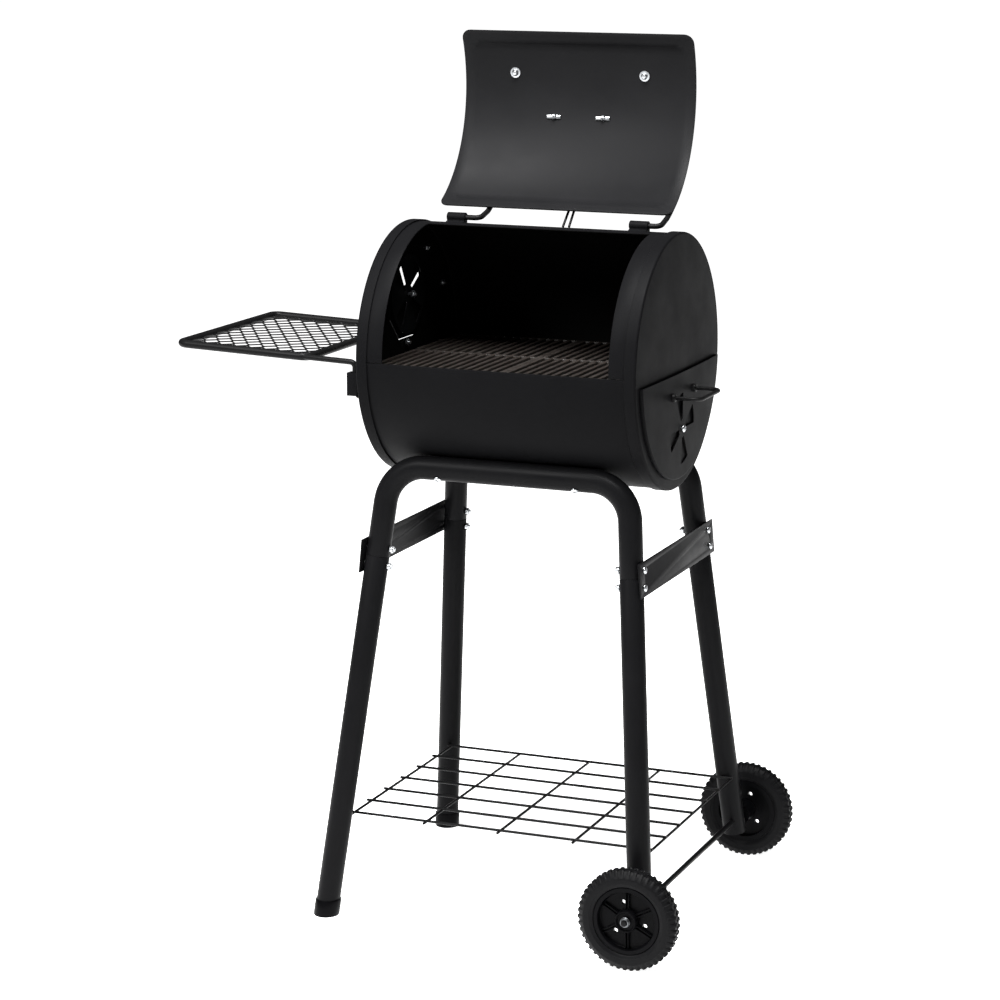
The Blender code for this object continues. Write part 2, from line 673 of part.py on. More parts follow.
def build_lid(grill):
    """The lid and all that moves with it, shaped shut and turned open about the hinge."""
    hinge = empty("lid_pivot", grill, (0, HINGE_Y, HINGE_Z), (math.radians(-LID_OPEN_ANGLE), 0, 0))
    offset = (HINGE_Y, HINGE_RISE)
    ramp_x, ramp_angle = 0.003, 1.0
    xs = [LID_FIELD_HALF - ramp_x, LID_FIELD_HALF, LID_HALF]
    xs = [*(-x for x in reversed(xs)), *xs]
    field = [LID_FIELD_REAR + ramp_angle, LID_FIELD_FRONT - ramp_angle]
    inner = facet_stops(*field)
    stops = [LID_REAR, LID_FIELD_REAR, *inner, LID_FIELD_FRONT, LID_FRONT]
    sheet("lid_shell", "black_paint", hinge, xs, stops, lid_radius, LID_SHEET, offset)

    def at(x, radius, angle):
        y, z = polar(radius, angle, 0)
        return (x, y - HINGE_Y, z - HINGE_RISE)

    for (side, _), sleeve_x, arm_x in zip(SIDES, SLEEVE_X, ROD_ARM_X):
        on_field = abs(arm_x) < LID_FIELD_HALF
        over = (FIELD_OUTER if on_field else LID_OUTER) + ROD_RADIUS + 2 * GAP
        route = [(sleeve_x - SLEEVE_LENGTH / 2, 0, 0), (arm_x, 0, 0)]
        route = bend([*route, at(arm_x, over, LID_REAR)], ROD_BEND, 4)
        route += [at(arm_x, over, angle) for angle in ROD_ARM_ANGLES]
        tube(f"{side}_hinge_rod", "black_paint", hinge, route, ROD_RADIUS)

    foot = FIELD_OUTER + GAP
    tip = foot + LID_HANDLE_REACH
    route = [at(-LID_HANDLE_HALF, foot, LID_HANDLE_ANGLE), at(-LID_HANDLE_HALF, tip, LID_HANDLE_ANGLE)]
    route += [(-x, y, z) for x, y, z in reversed(route)]
    tube("lid_handle", "black_plastic", hinge, bend(route, LID_HANDLE_BEND, 4), LID_HANDLE_RADIUS)

    centre = at(0, FIELD_OUTER + GAP + PLATE_THICK / 2, PLATE_ANGLE)
    outline = rectangle((-PLATE_HALF[0], -PLATE_HALF[1]), PLATE_HALF)
    turn = (math.radians(PLATE_ANGLE - 90), 0, 0)
    plate("lid_badge_plate", "black_paint", hinge, [outline], PLATE_THICK, centre, turn)


def build_hinge_fixed(grill):
    """The sleeves that the hinge rods turn in, and the wire that stops the open lid."""
    for (side, _), x in zip(SIDES, SLEEVE_X):
        outlines = [circle(SLEEVE_RADIUS, 12), circle(ROD_RADIUS + 2 * GAP, 12)]
        name = f"{side}_hinge_sleeve"
        plate(name, "black_paint", grill, outlines, SLEEVE_LENGTH, (x, HINGE_Y, HINGE_Z), IN_YZ)
    open_turn = Matrix.Rotation(math.radians(-LID_OPEN_ANGLE), 2)
    centre = open_turn @ Vector((-HINGE_Y, -HINGE_RISE)) + Vector((HINGE_Y, HINGE_Z))
    touch = math.radians(-45)
    reach = FIELD_OUTER + STOP_WIRE + 2 * GAP
    top_y = centre.x + reach * math.cos(touch)
    top_z = centre.y + reach * math.sin(touch)
    base_y = 2 * HINGE_Y
    base_z = BARREL_Z + math.sqrt((BARREL_RADIUS + GAP) ** 2 - base_y**2) + STOP_WIRE
    middle = sum(STOP_X) / 2
    spread = 0.003
    route = [(STOP_X[0], base_y, base_z), (middle - spread, top_y, top_z)]
    route += [(middle + spread, top_y, top_z), (STOP_X[1], base_y, base_z)]
    tube("lid_stop_wire", "black_paint", grill, bend(route, STOP_BEND, 3), STOP_WIRE)


# ---- Stand ----
def leg_point(sign_x, sign_y, z):
    """The centre line of a leg at a height."""
    x = sign_x * (LEG_FLOOR_X - LEG_LEAN_X * z)
    return Vector((x, sign_y * (LEG_FLOOR_Y - LEG_LEAN_Y * z), z))


def build_leg_frame(grill, side, sign_y, shell):
    """The bent upper tube of one leg pair, and the two bolts that hold the barrel on it."""
    route = [leg_point(-1, sign_y, LEG_SEAM_Z + GAP), leg_point(-1, sign_y, FRAME_TOP_Z)]
    route += [Vector((-p.x, p.y, p.z)) for p in reversed(route)]
    route = bend(route, LEG_BEND, 4)
    frame = to_mesh(tube(f"{side}_leg_frame", "black_paint", grill, route, LEG_TUBE, 3))
    hollow(frame, LEG_TUBE, LEG_WALL, route)
    outward = Vector((0, sign_y * FRAME_TOP_Y, FRAME_TOP_Z - BARREL_Z)).normalized()
    for end, sign_x in SIDES:
        bar = Vector((sign_x * SADDLE_BOLT_X, sign_y * FRAME_TOP_Y, FRAME_TOP_Z))
        seat = bar + outward * LEG_TUBE
        grip = 2 * LEG_TUBE + GAP + SHEET + SADDLE_NUT_CLEARANCE
        name = f"{side}_{end}_saddle_bolt"
        hole = bolt_hole(f"{name}_hole", grill, seat, outward, grip + 0.006)
        cut(frame, hole)
        cut(shell, hole)
        bolt(name, grill, seat, outward, grip)
    return frame


def build_leg(grill, side, sign_x, depth, sign_y):
    """A lower leg from the seam down, with a foot cap on the left ones."""
    top = leg_point(sign_x, sign_y, LEG_SEAM_Z)
    end_z = LEFT_LEG_END_Z if sign_x < 0 else RIGHT_LEG_END_Z
    route = [top, leg_point(sign_x, sign_y, end_z)]
    leg = to_mesh(tube(f"{depth}_{side}_leg", "black_paint", grill, route, LEG_TUBE, 3))
    hollow(leg, LEG_TUBE, LEG_WALL, route)
    wire_x = WIRE_SHELF_SHIFT + sign_x * WIRE_SHELF_HALF_X
    centre = (wire_x, sign_y * (WIRE_SHELF_LEG_Y - LEG_TUBE / 2), WIRE_SHELF_Z)
    name = f"{depth}_{side}_wire_hole"
    hole = rod(name, None, grill, centre, (0, 1, 0), WIRE_RADIUS + 2 * GAP, 2 * LEG_TUBE, 8)
    cut(leg, as_cutter(hole))
    if sign_x > 0:
        centre = (AXLE_X, sign_y * LEG_FLOOR_Y, AXLE_Z)
        name = f"{depth}_axle_hole"
        hole = rod(name, None, grill, centre, (0, 1, 0), AXLE_RADIUS + 2 * GAP, 0.08, 10)
        cut(leg, as_cutter(hole))
        return leg
    upward = top - route[1]
    steps = 16
    inner = (LEG_TUBE + GAP) / math.cos(math.pi / steps)
    outer = inner + FOOT_WALL
    profile = [(0, -GAP), (inner, -GAP), (inner, FOOT_HEIGHT), (outer, FOOT_HEIGHT)]
    profile += [(outer, -FOOT_BASE), (0, -FOOT_BASE)]
    turn = upward.to_track_quat("Z", "Y").to_euler()
    foot = turned(f"{depth}_foot_cap", "black_plastic", grill, profile, steps, route[1], turn)
    low = route[1] - Vector((0.05, 0.05, 0.05))
    high = route[1] + Vector((0.05, 0.05, 0))
    high.z = 0
    cut(foot, block(f"{depth}_floor", grill, low, high))
    return leg


def build_brace(grill, side, sign_x, uppers, lowers):
    """A flat plate across the outside of two legs, bolted above and below their seams."""
    lean = math.atan(LEG_LEAN_X)
    along = Vector((sign_x * -math.sin(lean), 0, math.cos(lean)))
    outward = Vector((sign_x * math.cos(lean), 0, math.sin(lean)))
    seam = leg_point(sign_x, 1, LEG_SEAM_Z)
    centre = Vector((seam.x, 0, seam.z)) + outward * (LEG_TUBE + GAP + SHEET / 2)
    outline = rectangle((-BRACE_HALF, -BRACE_HEIGHT / 2), (BRACE_HALF, BRACE_HEIGHT / 2))
    turn = Matrix((Vector((0, 1, 0)), along, Vector((0, 1, 0)).cross(along))).transposed()
    name = f"{side}_leg_brace"
    brace = plate(name, "black_paint", grill, [outline], SHEET, centre, turn.to_euler())
    for depth, sign_y in DEPTHS:
        for level, rise in (("upper", BRACE_BOLT_RISE), ("lower", -BRACE_BOLT_RISE)):
            middle = leg_point(sign_x, sign_y, LEG_SEAM_Z + rise)
            seat = middle + outward * (LEG_TUBE + GAP + SHEET)
            grip = 2 * LEG_TUBE + GAP + SHEET
            name = f"{depth}_{side}_{level}_bolt"
            hole = bolt_hole(f"{name}_hole", grill, seat, outward, grip + 0.006)
            cut(brace, hole)
            cut(uppers[sign_y] if rise > 0 else lowers[sign_x, sign_y], hole)
            bolt(name, grill, seat, outward, grip)


def build_wire_shelf(grill):
    """The wire shelf low on the stand: long wires on top of cross wires, welded where they meet."""
    half_x, half_y = WIRE_SHELF_HALF_X, WIRE_SHELF_HALF_Y
    over = 2 * WIRE_RADIUS
    wires = []
    for k in range(LONG_WIRE_COUNT):
        y = half_y * (2 * k / (LONG_WIRE_COUNT - 1) - 1)
        centre = (WIRE_SHELF_SHIFT, y, WIRE_SHELF_Z + 0.8 * over)
        length = 2 * (half_x + over)
        wires.append(rod(f"long_wire_{k}", None, grill, centre, (1, 0, 0), WIRE_RADIUS, length, 6))
    for k in range(CROSS_WIRE_COUNT):
        outer = k in (0, CROSS_WIRE_COUNT - 1)
        half = WIRE_SHELF_LEG_Y if outer else half_y + over
        x = half_x * (2 * k / (CROSS_WIRE_COUNT - 1) - 1)
        centre = (WIRE_SHELF_SHIFT + x, 0, WIRE_SHELF_Z)
        name = f"cross_wire_{k}"
        wires.append(rod(name, None, grill, centre, (0, 1, 0), WIRE_RADIUS, 2 * half, 6))
    shelf = wires[0]
    shelf.name = shelf.data.name = "bottom_wire_shelf"
    shelf.data.materials.append(finish(shelf.name, "black_paint"))
    join(shelf, *reversed(wires[1:]))


# ---- Wheels ----
def build_axle(grill):
    outer = WHEEL_Y + WHEEL_WIDTH / 2 + GAP
    length = 2 * (outer + NUT_HEIGHT + 0.002)
    rod("wheel_axle", "zinc_steel", grill, (AXLE_X, 0, AXLE_Z), (0, 1, 0), AXLE_RADIUS, length, 12)
    for side, sign in DEPTHS:
        outlines = [circle(AXLE_NUT_RADIUS, 6), circle(AXLE_RADIUS + GAP, 12)]
        centre = (AXLE_X, sign * (outer + NUT_HEIGHT / 2), AXLE_Z)
        plate(f"{side}_axle_nut", "zinc_steel", grill, outlines, NUT_HEIGHT, centre, IN_XZ)


def build_wheel(grill, side, sign):
    """A tyre on a spoked hub. The hub's local Z points away from the grill."""
    pivot = empty(f"{side}_wheel_pivot", grill, (AXLE_X, sign * WHEEL_Y, AXLE_Z))
    turn = (math.radians(-90 * sign), 0, 0)
    half = WHEEL_WIDTH / 2
    radius = AXLE_Z
    side_wall = [(TYRE_INNER, half * 0.8), (radius * 0.86, half), (radius * 0.96, half * 0.82)]
    tread = [(radius, half * 0.5)]
    top = side_wall + tread
    profile = [*top, *((r, -h) for r, h in reversed(top)), top[0]]
    turned(f"{side}_tyre", "black_plastic", pivot, profile, 28, turn=turn)

    rim, web = half * 0.75, 0.004
    bore = AXLE_RADIUS + 2 * GAP
    inner_end = HUB_INNER_Y - WHEEL_Y
    profile = [(bore, half), (HUB_BOSS, half), (HUB_BOSS, web), (RIM_INNER, web)]
    profile += [(RIM_INNER, rim), (TYRE_INNER - GAP, rim), (TYRE_INNER - GAP, -rim)]
    profile += [(RIM_INNER, -rim), (RIM_INNER, -web), (HUB_BOSS, -web), (HUB_BOSS, inner_end)]
    profile += [(bore, inner_end), (bore, half)]
    hub = turned(f"{side}_wheel_hub", "black_plastic", pivot, profile, 20, turn=turn)
    for k in range(SPOKE_COUNT):
        angle = (k + 0.5) * 360 / SPOKE_COUNT
        spread = 0.62 * 180 / SPOKE_COUNT
        outline = arc(RIM_INNER - 0.003, angle - spread, angle + spread, count=3)
        outline += arc(HUB_BOSS + 0.006, angle + spread * 0.7, angle - spread * 0.7, count=1)
        name = f"{side}_wheel_window_{k}"
        cut(hub, as_cutter(plate(name, None, pivot, [outline], CUTTER_DEPTH, turn=IN_XZ)))


# ---- Side shelf ----
def build_side_shelf(grill):
    """The lift-off shelf: a bent frame with two hooked rods, and expanded metal inside it."""
    slope = (SHELF_OUTER_Z - SHELF_INNER_Z) / (SHELF_OUTER_X - SHELF_INNER_X)

    def level(x):
        return SHELF_INNER_Z + (abs(x) - SHELF_INNER_X) * slope

    def loop_point(x, y):
        return (x, y, level(x))

    middle = -(SHELF_OUTER_X + SHELF_INNER_X) / 2
    corners = [(middle, -SHELF_HALF), (-SHELF_OUTER_X, -SHELF_HALF), (-SHELF_OUTER_X, SHELF_HALF)]
    corners += [(-SHELF_INNER_X, SHELF_HALF), (-SHELF_INNER_X, -SHELF_HALF), (middle, -SHELF_HALF)]
    route = bend([loop_point(*corner) for corner in corners], SHELF_CORNER, 4)
    loop = tube("side_shelf_frame", "black_paint", grill, route[:-1], SHELF_TUBE)
    loop.data.splines[0].use_cyclic_u = True
    frame = to_mesh(loop)
    for side, sign in DEPTHS:
        y = sign * SHELF_HALF
        route = [(-SHELF_INNER_X - 0.03, y, level(SHELF_INNER_X + 0.03))]
        route += [(-SHELF_ROD_X, y, level(SHELF_ROD_X))]
        route += [(-SHELF_ROD_X, y, SHELF_ROD_FOOT_Z + 0.022)]
        route += [(-SHELF_ROD_FOOT_X, y, SHELF_ROD_FOOT_Z + 0.012)]
        route += [(-SHELF_ROD_FOOT_X, y, SHELF_ROD_FOOT_Z)]
        hook = bend(route, SHELF_ROD_BEND, 4)
        join(frame, to_mesh(tube(f"{side}_shelf_hook", None, grill, hook, SHELF_ROD)))

    inset = SHELF_TUBE + GAP
    length = SHELF_OUTER_X - SHELF_INNER_X - 2 * inset
    width = 2 * (SHELF_HALF - inset)
    outlines = [rounded_rectangle(length / 2, width / 2, SHELF_CORNER - inset)]
    columns, rows = SHELF_MESH_CELLS
    cell_x = (length - SHELF_MESH_STRAND) / columns
    cell_y = (width - SHELF_MESH_STRAND) / rows
    for i in range(columns):
        for j in range(rows):
            u = -length / 2 + SHELF_MESH_STRAND / 2 + (i + 0.5) * cell_x
            v = -width / 2 + SHELF_MESH_STRAND / 2 + (j + 0.5) * cell_y
            half_u, half_v = (cell_x - SHELF_MESH_STRAND) / 2, (cell_y - SHELF_MESH_STRAND) / 2
            outlines.append([(u + half_u, v), (u, v + half_v), (u - half_u, v), (u, v - half_v)])
    centre = (middle, 0, level(middle))
    turn = (0, math.atan(slope), 0)
    plate("side_shelf_mesh", "black_paint", grill, outlines, SHELF_MESH_THICK, centre, turn)

    wall = -(CAP_EDGE_X + CAP_CROWN)
    slot = SHELF_ROD + BRACKET_CLEARANCE
    outer = slot + SHEET
    half = [(0, BRACKET_DEPTH), (outer, BRACKET_DEPTH), (outer, SHEET), (outer + BRACKET_FLANGE, SHEET)]
    inside = BRACKET_DEPTH - SHEET
    half += [(outer + BRACKET_FLANGE, 0), (slot, 0), (slot, inside), (0, inside)]
    near = [(wall - GAP - depth, y) for y, depth in half[1:-1]]
    far = [(x, -y) for x, y in reversed(near)]
    for side, sign in DEPTHS:
        centre = (0, sign * SHELF_HALF, BRACKET_TOP_Z - BRACKET_HEIGHT / 2)
        name = f"{side}_shelf_bracket"
        plate(name, "black_paint", grill, [near + far], BRACKET_HEIGHT, centre)


def main():
    right_end = max(AXLE_X + AXLE_Z, PULL_ROOT_X + GAP + PULL_REACH + PULL_WIRE)
    shift = (SHELF_OUTER_X + SHELF_TUBE - right_end) / 2
    grill = empty("grill", None, (shift, 0, 0))
    shell = build_shell(grill)
    build_left_end(grill)
    build_right_end(grill)
    build_drawer(grill)
    build_grates(grill)
    build_lid(grill)
    build_hinge_fixed(grill)
    uppers = {sign: build_leg_frame(grill, side, sign, shell) for side, sign in DEPTHS}
    lowers = {
        (sign_x, sign_y): build_leg(grill, side, sign_x, depth, sign_y)
        for side, sign_x in SIDES
        for depth, sign_y in DEPTHS
    }
    for side, sign in SIDES:
        build_brace(grill, side, sign, uppers, lowers)
    build_wire_shelf(grill)
    build_axle(grill)
    for side, sign in DEPTHS:
        build_wheel(grill, side, sign)
    build_side_shelf(grill)


clear_scene()
PIECES = new_collection("barrel_grill")
CUTTERS = new_collection("cutters")
main()
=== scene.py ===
"""The looks of a small barrel charcoal grill on a wheeled tube stand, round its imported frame."""

import logging
import math
from dataclasses import dataclass
from enum import Enum
from typing import Callable, Iterable, Sequence

import bpy
from mathutils import Matrix, Vector


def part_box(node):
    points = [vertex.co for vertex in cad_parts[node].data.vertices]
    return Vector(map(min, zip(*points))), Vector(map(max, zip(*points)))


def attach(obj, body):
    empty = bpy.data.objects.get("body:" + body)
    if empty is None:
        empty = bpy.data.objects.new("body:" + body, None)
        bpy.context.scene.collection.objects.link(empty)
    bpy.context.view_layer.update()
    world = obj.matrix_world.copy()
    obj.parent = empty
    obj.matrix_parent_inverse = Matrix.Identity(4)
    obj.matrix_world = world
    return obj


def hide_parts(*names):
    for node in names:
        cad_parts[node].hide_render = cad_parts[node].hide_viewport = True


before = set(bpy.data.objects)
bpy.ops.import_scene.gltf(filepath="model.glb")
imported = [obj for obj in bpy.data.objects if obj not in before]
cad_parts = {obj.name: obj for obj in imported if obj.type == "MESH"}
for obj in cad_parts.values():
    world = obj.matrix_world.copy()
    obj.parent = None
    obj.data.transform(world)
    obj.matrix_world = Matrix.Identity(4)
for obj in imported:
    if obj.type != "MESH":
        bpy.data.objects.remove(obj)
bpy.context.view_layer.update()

LOG = logging.getLogger("grill")
# The clearance between neighbours, and the thickness of the barrel's sheet, in metres.
GAP = 0.0003
SHEET = 0.002
# How wide an edge is broken: on castings, sheet and tube, flat plate and the thinnest parts.
CAST_SOFT = 0.0013
SOFT = 0.0006
PLATE_SOFT = 0.0005
FINE_SOFT = 0.0004
# How far a cutter reaches to each side of the face that it cuts.
CUT_REACH = 0.02
TAU = 2 * math.pi
SIDES = (("left", -1), ("right", 1))
DEPTHS = (("front", -1), ("rear", 1))


class Body(str, Enum):
    """The bodies of the frame that pieces ride on."""

    STAND = "stand"
    DRAWER = "ash_drawer"
    DRAWER_DAMPER = "drawer_damper"
    FIRE_GRATE = "fire_grate"
    LEFT_DAMPER = "left_damper"
    LID = "lid"
    LEFT_GRATE = "left_grate"
    RIGHT_GRATE = "right_grate"
    FRONT_WHEEL = "front_wheel"
    REAR_WHEEL = "rear_wheel"
    SHELF = "side_shelf"


class Slot(str, Enum):
    """Four finish names: black paint, cast iron, black plastic and zinc steel."""

    PAINT = "black_paint"
    IRON = "cast_iron"
    PLASTIC = "black_plastic"
    ZINC = "zinc_steel"


# ---- Small tools of the bench ----
def deselect() -> None:
    """Leaves edit mode and selects nothing."""
    if bpy.context.mode != "OBJECT":
        bpy.ops.object.mode_set(mode="OBJECT")
    bpy.ops.object.select_all(action="DESELECT")


def only(*pieces: bpy.types.Object) -> None:
    """Selects just these pieces, and makes the first active.

    Args:
        pieces: what is to be selected.
    """
    deselect()
    for piece in pieces:
        piece.select_set(True)
    bpy.context.view_layer.objects.active = pieces[0]


def settle(piece: bpy.types.Object) -> bpy.types.Object:
    """Puts a piece's place and turn into its mesh."""
    only(piece)
    bpy.ops.object.transform_apply(location=True, rotation=True, scale=True)
    return piece


def edit(
    piece: bpy.types.Object, action: Callable[[], object], whole: bool = True
) -> bpy.types.Object:
    """Runs an edit-mode action on a piece.

    Args:
        piece: the mesh to edit.
        action: what to do in edit mode.
        whole: whether all of it is selected first, or what is selected stays so.

    Returns:
        The same piece.
    """
    only(piece)
    bpy.ops.object.mode_set(mode="EDIT")
    if whole:
        bpy.ops.mesh.select_all(action="SELECT")
    action()
    bpy.ops.object.mode_set(mode="OBJECT")
    return piece


def block(size: Sequence[float], middle: Sequence[float] = (0, 0, 0)) -> bpy.types.Object:
    """A box round a middle, to be cut with or shaped further."""
    deselect()
    bpy.ops.mesh.primitive_cube_add(size=1, location=middle, scale=size)
    return settle(bpy.context.object)


def peg(sides: int, radius: float, depth: float, middle: Sequence[float]) -> bpy.types.Object:
    """An upright pin with this many sides, to be cut with or shaped further.

    Args:
        sides: how many sides go round it.
        radius: its radius at the corners.
        depth: its height.
        middle: where its middle lies.

    Returns:
        The pin.
    """
    deselect()
    bpy.ops.mesh.primitive_cylinder_add(
        vertices=sides, radius=radius, depth=depth, location=middle
    )
    return settle(bpy.context.object)


def weld(piece: bpy.types.Object, distance: float = 1e-6) -> bpy.types.Object:
    """Merges doubled points and turns every face outwards.

    Args:
        piece: the mesh to close up.
        distance: how near two points are to be one, in metres.

    Returns:
        The same piece.
    """

    def action() -> None:
        """Merges, then recalculates the normals."""
        bpy.ops.mesh.remove_doubles(threshold=distance)
        bpy.ops.mesh.normals_make_consistent(inside=False)

    return edit(piece, action)


def chain(name: str, points: Sequence[Sequence[float]], closed: bool = False) -> bpy.types.Object:
    """A line of edges, drawn out point by point.

    Args:
        name: the piece's name.
        points: the places the line goes through.
        closed: whether the line comes back to its start.

    Returns:
        The line as a mesh without faces.
    """
    places = [Vector(point) for point in points]
    if closed:
        places.append(places[0])
    deselect()
    bpy.ops.mesh.primitive_plane_add(size=0.01, location=places[0])
    piece = bpy.context.object
    piece.name = piece.data.name = name
    bpy.ops.object.mode_set(mode="EDIT")
    bpy.ops.mesh.merge(type="COLLAPSE")
    for here, there in zip(places, places[1:]):
        bpy.ops.mesh.extrude_region_move(TRANSFORM_OT_translate={"value": there - here})
    if closed:
        bpy.ops.mesh.select_all(action="SELECT")
        bpy.ops.mesh.remove_doubles(threshold=1e-6)
    bpy.ops.object.mode_set(mode="OBJECT")
    while piece.data.uv_layers:
        piece.data.uv_layers.remove(piece.data.uv_layers[0])
    return settle(piece)


def tube(
    name: str,
    route: Sequence[Sequence[float]],
    radius: float,
    sides: int = 16,
    closed: bool = False,
    filled: bool = True,
) -> bpy.types.Object:
    """A round bar or pipe along a route.

    Args:
        name: the piece's name.
        route: the places its middle goes through.
        radius: its outer radius in metres.
        sides: how many flats stand for the round.
        closed: whether it is a loop.
        filled: whether its ends are closed.

    Returns:
        The bar as a mesh.
    """
    piece = chain(name, route, closed)
    only(piece)
    bpy.ops.object.convert(target="CURVE")
    piece = bpy.context.object
    piece.data.bevel_depth = radius
    piece.data.bevel_resolution = (sides - 4) // 2
    piece.data.use_fill_caps = filled and not closed
    bpy.ops.object.convert(target="MESH")
    piece = bpy.context.object
    piece.name = piece.data.name = name
    return weld(piece)


def turned(
    name: str,
    profile: Sequence[tuple[float, float]],
    steps: int = 64,
    place: Matrix | None = None,
    ring: bool = False,
) -> bpy.types.Object:
    """A lathe-turned shape: its half section is spun about Z.

    Args:
        name: the piece's name.
        profile: (radius, height) pairs in metres.
        steps: how many steps make the turn.
        place: where the finished shape goes.
        ring: whether the section is a loop clear of the axis.

    Returns:
        The closed shape.
    """
    piece = chain(name, [(radius, 0, height) for radius, height in profile], ring)

    def spin() -> None:
        """Spins the section all the way round."""
        bpy.ops.mesh.spin(steps=steps, angle=TAU, center=(0, 0, 0), axis=(0, 0, 1))

    edit(piece, spin)
    weld(piece)
    piece.data.transform(place or Matrix())
    return piece


def pushed_out(
    name: str, outline: Sequence[Sequence[float]], reach: Sequence[float]
) -> bpy.types.Object:
    """A flat outline filled and pushed out into a solid.

    Args:
        name: the piece's name.
        outline: the corners in order.
        reach: how far and which way it is pushed.

    Returns:
        The closed solid.
    """
    piece = chain(name, outline, closed=True)

    def action() -> None:
        """Fills the outline and pulls it out."""
        bpy.ops.mesh.edge_face_add()
        bpy.ops.mesh.extrude_region_move(TRANSFORM_OT_translate={"value": Vector(reach)})

    edit(piece, action)
    return weld(piece)


def modify(piece: bpy.types.Object, kind: str, **settings: object) -> bpy.types.Object:
    """Adds a modifier with these settings and applies it.

    Args:
        piece: the mesh to change.
        kind: the modifier's type.
        settings: the modifier's own properties.

    Returns:
        The same piece.
    """
    only(piece)
    modifier = piece.modifiers.new(kind.title(), kind)
    for key, value in settings.items():
        setattr(modifier, key, value)
    bpy.ops.object.modifier_apply(modifier=modifier.name)
    return piece


def rounded(
    piece: bpy.types.Object, width: float, segments: int = 2, angle: float = 40
) -> bpy.types.Object:
    """Breaks the sharp edges of a piece.

    Args:
        piece: the mesh to change.
        width: how wide the broken edge is, in metres.
        segments: how many faces go round it.
        angle: edges sharper than this many degrees are broken.

    Returns:
        The same piece.
    """
    return modify(
        piece,
        "BEVEL",
        width=width,
        segments=segments,
        limit_method="ANGLE",
        angle_limit=math.radians(angle),
    )


def cut(piece: bpy.types.Object, *cutters: bpy.types.Object) -> bpy.types.Object:
    """Takes the cutters away from a piece.

    Args:
        piece: the mesh to cut.
        cutters: the solids taken away, which are then removed.

    Returns:
        The same piece.
    """
    for cutter in cutters:
        modify(piece, "BOOLEAN", operation="DIFFERENCE", solver="EXACT", object=cutter)
        bpy.data.objects.remove(cutter)
    return piece


def duplicate(piece: bpy.types.Object, name: str, place: Matrix | None = None) -> bpy.types.Object:
    """A copy with its own mesh, moved by a matrix.

    Args:
        piece: the mesh to copy.
        name: the copy's name.
        place: where it goes, from where the first one is.

    Returns:
        The copy.
    """
    only(piece)
    bpy.ops.object.duplicate(linked=False)
    twin = bpy.context.object
    twin.name = twin.data.name = name
    twin.data.transform(place or Matrix())
    return twin


def joined(name: str, pieces: Sequence[bpy.types.Object]) -> bpy.types.Object:
    """Several meshes made one object.

    Args:
        name: the new piece's name.
        pieces: the meshes to join.

    Returns:
        The one piece.
    """
    only(*pieces)
    bpy.ops.object.join()
    piece = bpy.context.object
    piece.name = piece.data.name = name
    return piece


def refined(node: str, name: str, width: float, segments: int = 2) -> bpy.types.Object:
    """A copy of a frame node whose triangles are merged and whose edges are broken.

    Args:
        node: the frame node.
        name: the new piece's name.
        width: the width of the broken edges in metres.
        segments: how many faces round each edge.

    Returns:
        The new piece.
    """
    piece = duplicate(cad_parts[node], name)
    piece.parent = None
    for key in list(piece.keys()):
        del piece[key]
    piece.data.materials.clear()

    def action() -> None:
        """Merges the loose triangles into whole flats."""
        bpy.ops.mesh.remove_doubles(threshold=1e-6)
        bpy.ops.mesh.dissolve_limited(angle_limit=math.radians(0.6))

    edit(piece, action)
    return rounded(piece, width, segments)


def arc(
    radius: float, start: float, end: float, count: int, centre: Sequence[float] = (0, 0)
) -> list[tuple[float, float]]:
    """Points along a circle between two angles in degrees, both ends included.

    Args:
        radius: the circle's radius.
        start: the first angle.
        end: the last angle.
        count: how many steps lie between them.
        centre: the circle's middle.

    Returns:
        The points.
    """
    turns = [math.radians(start + (end - start) * k / count) for k in range(count + 1)]
    return [(centre[0] + radius * math.cos(t), centre[1] + radius * math.sin(t)) for t in turns]


def bent(points: Sequence[Sequence[float]], radius: float, count: int = 10) -> list[Vector]:
    """A route whose corners are rounded.

    Args:
        points: the corners of the route.
        radius: the bend radius in metres.
        count: how many steps round each bend.

    Returns:
        The route's points.
    """
    places = [Vector(point) for point in points]
    route = [places[0]]
    for before, corner, after in zip(places, places[1:], places[2:]):
        back, on = (before - corner).normalized(), (after - corner).normalized()
        half = back.angle(on) / 2
        middle = corner + (back + on).normalized() * radius / math.sin(half)
        first = corner + back * radius / math.tan(half) - middle
        last = corner + on * radius / math.tan(half) - middle
        sweep = first.angle(last)
        for k in range(count + 1):
            part = k / count
            turn = first * math.sin((1 - part) * sweep) + last * math.sin(part * sweep)
            route.append(middle + turn / math.sin(sweep))
    return [*route, places[-1]]


def aimed(seat: Sequence[float], direction: Sequence[float]) -> Matrix:
    """The place of a shape whose Z points along a direction, with its origin on the seat."""
    turn = Vector(direction).to_track_quat("Z", "Y").to_matrix().to_4x4()
    return Matrix.Translation(Vector(seat)) @ turn


# ---- Finishes ----
def linear(code: str) -> tuple[float, float, float, float]:
    """An sRGB hex colour as linear light.

    Args:
        code: the colour, such as "#0e0e0f".

    Returns:
        Red, green, blue and a full alpha.
    """
    parts = [int(code[k : k + 2], 16) / 255 for k in (1, 3, 5)]
    light = [p / 12.92 if p <= 0.04045 else ((p + 0.055) / 1.055) ** 2.4 for p in parts]
    return (*light, 1.0)


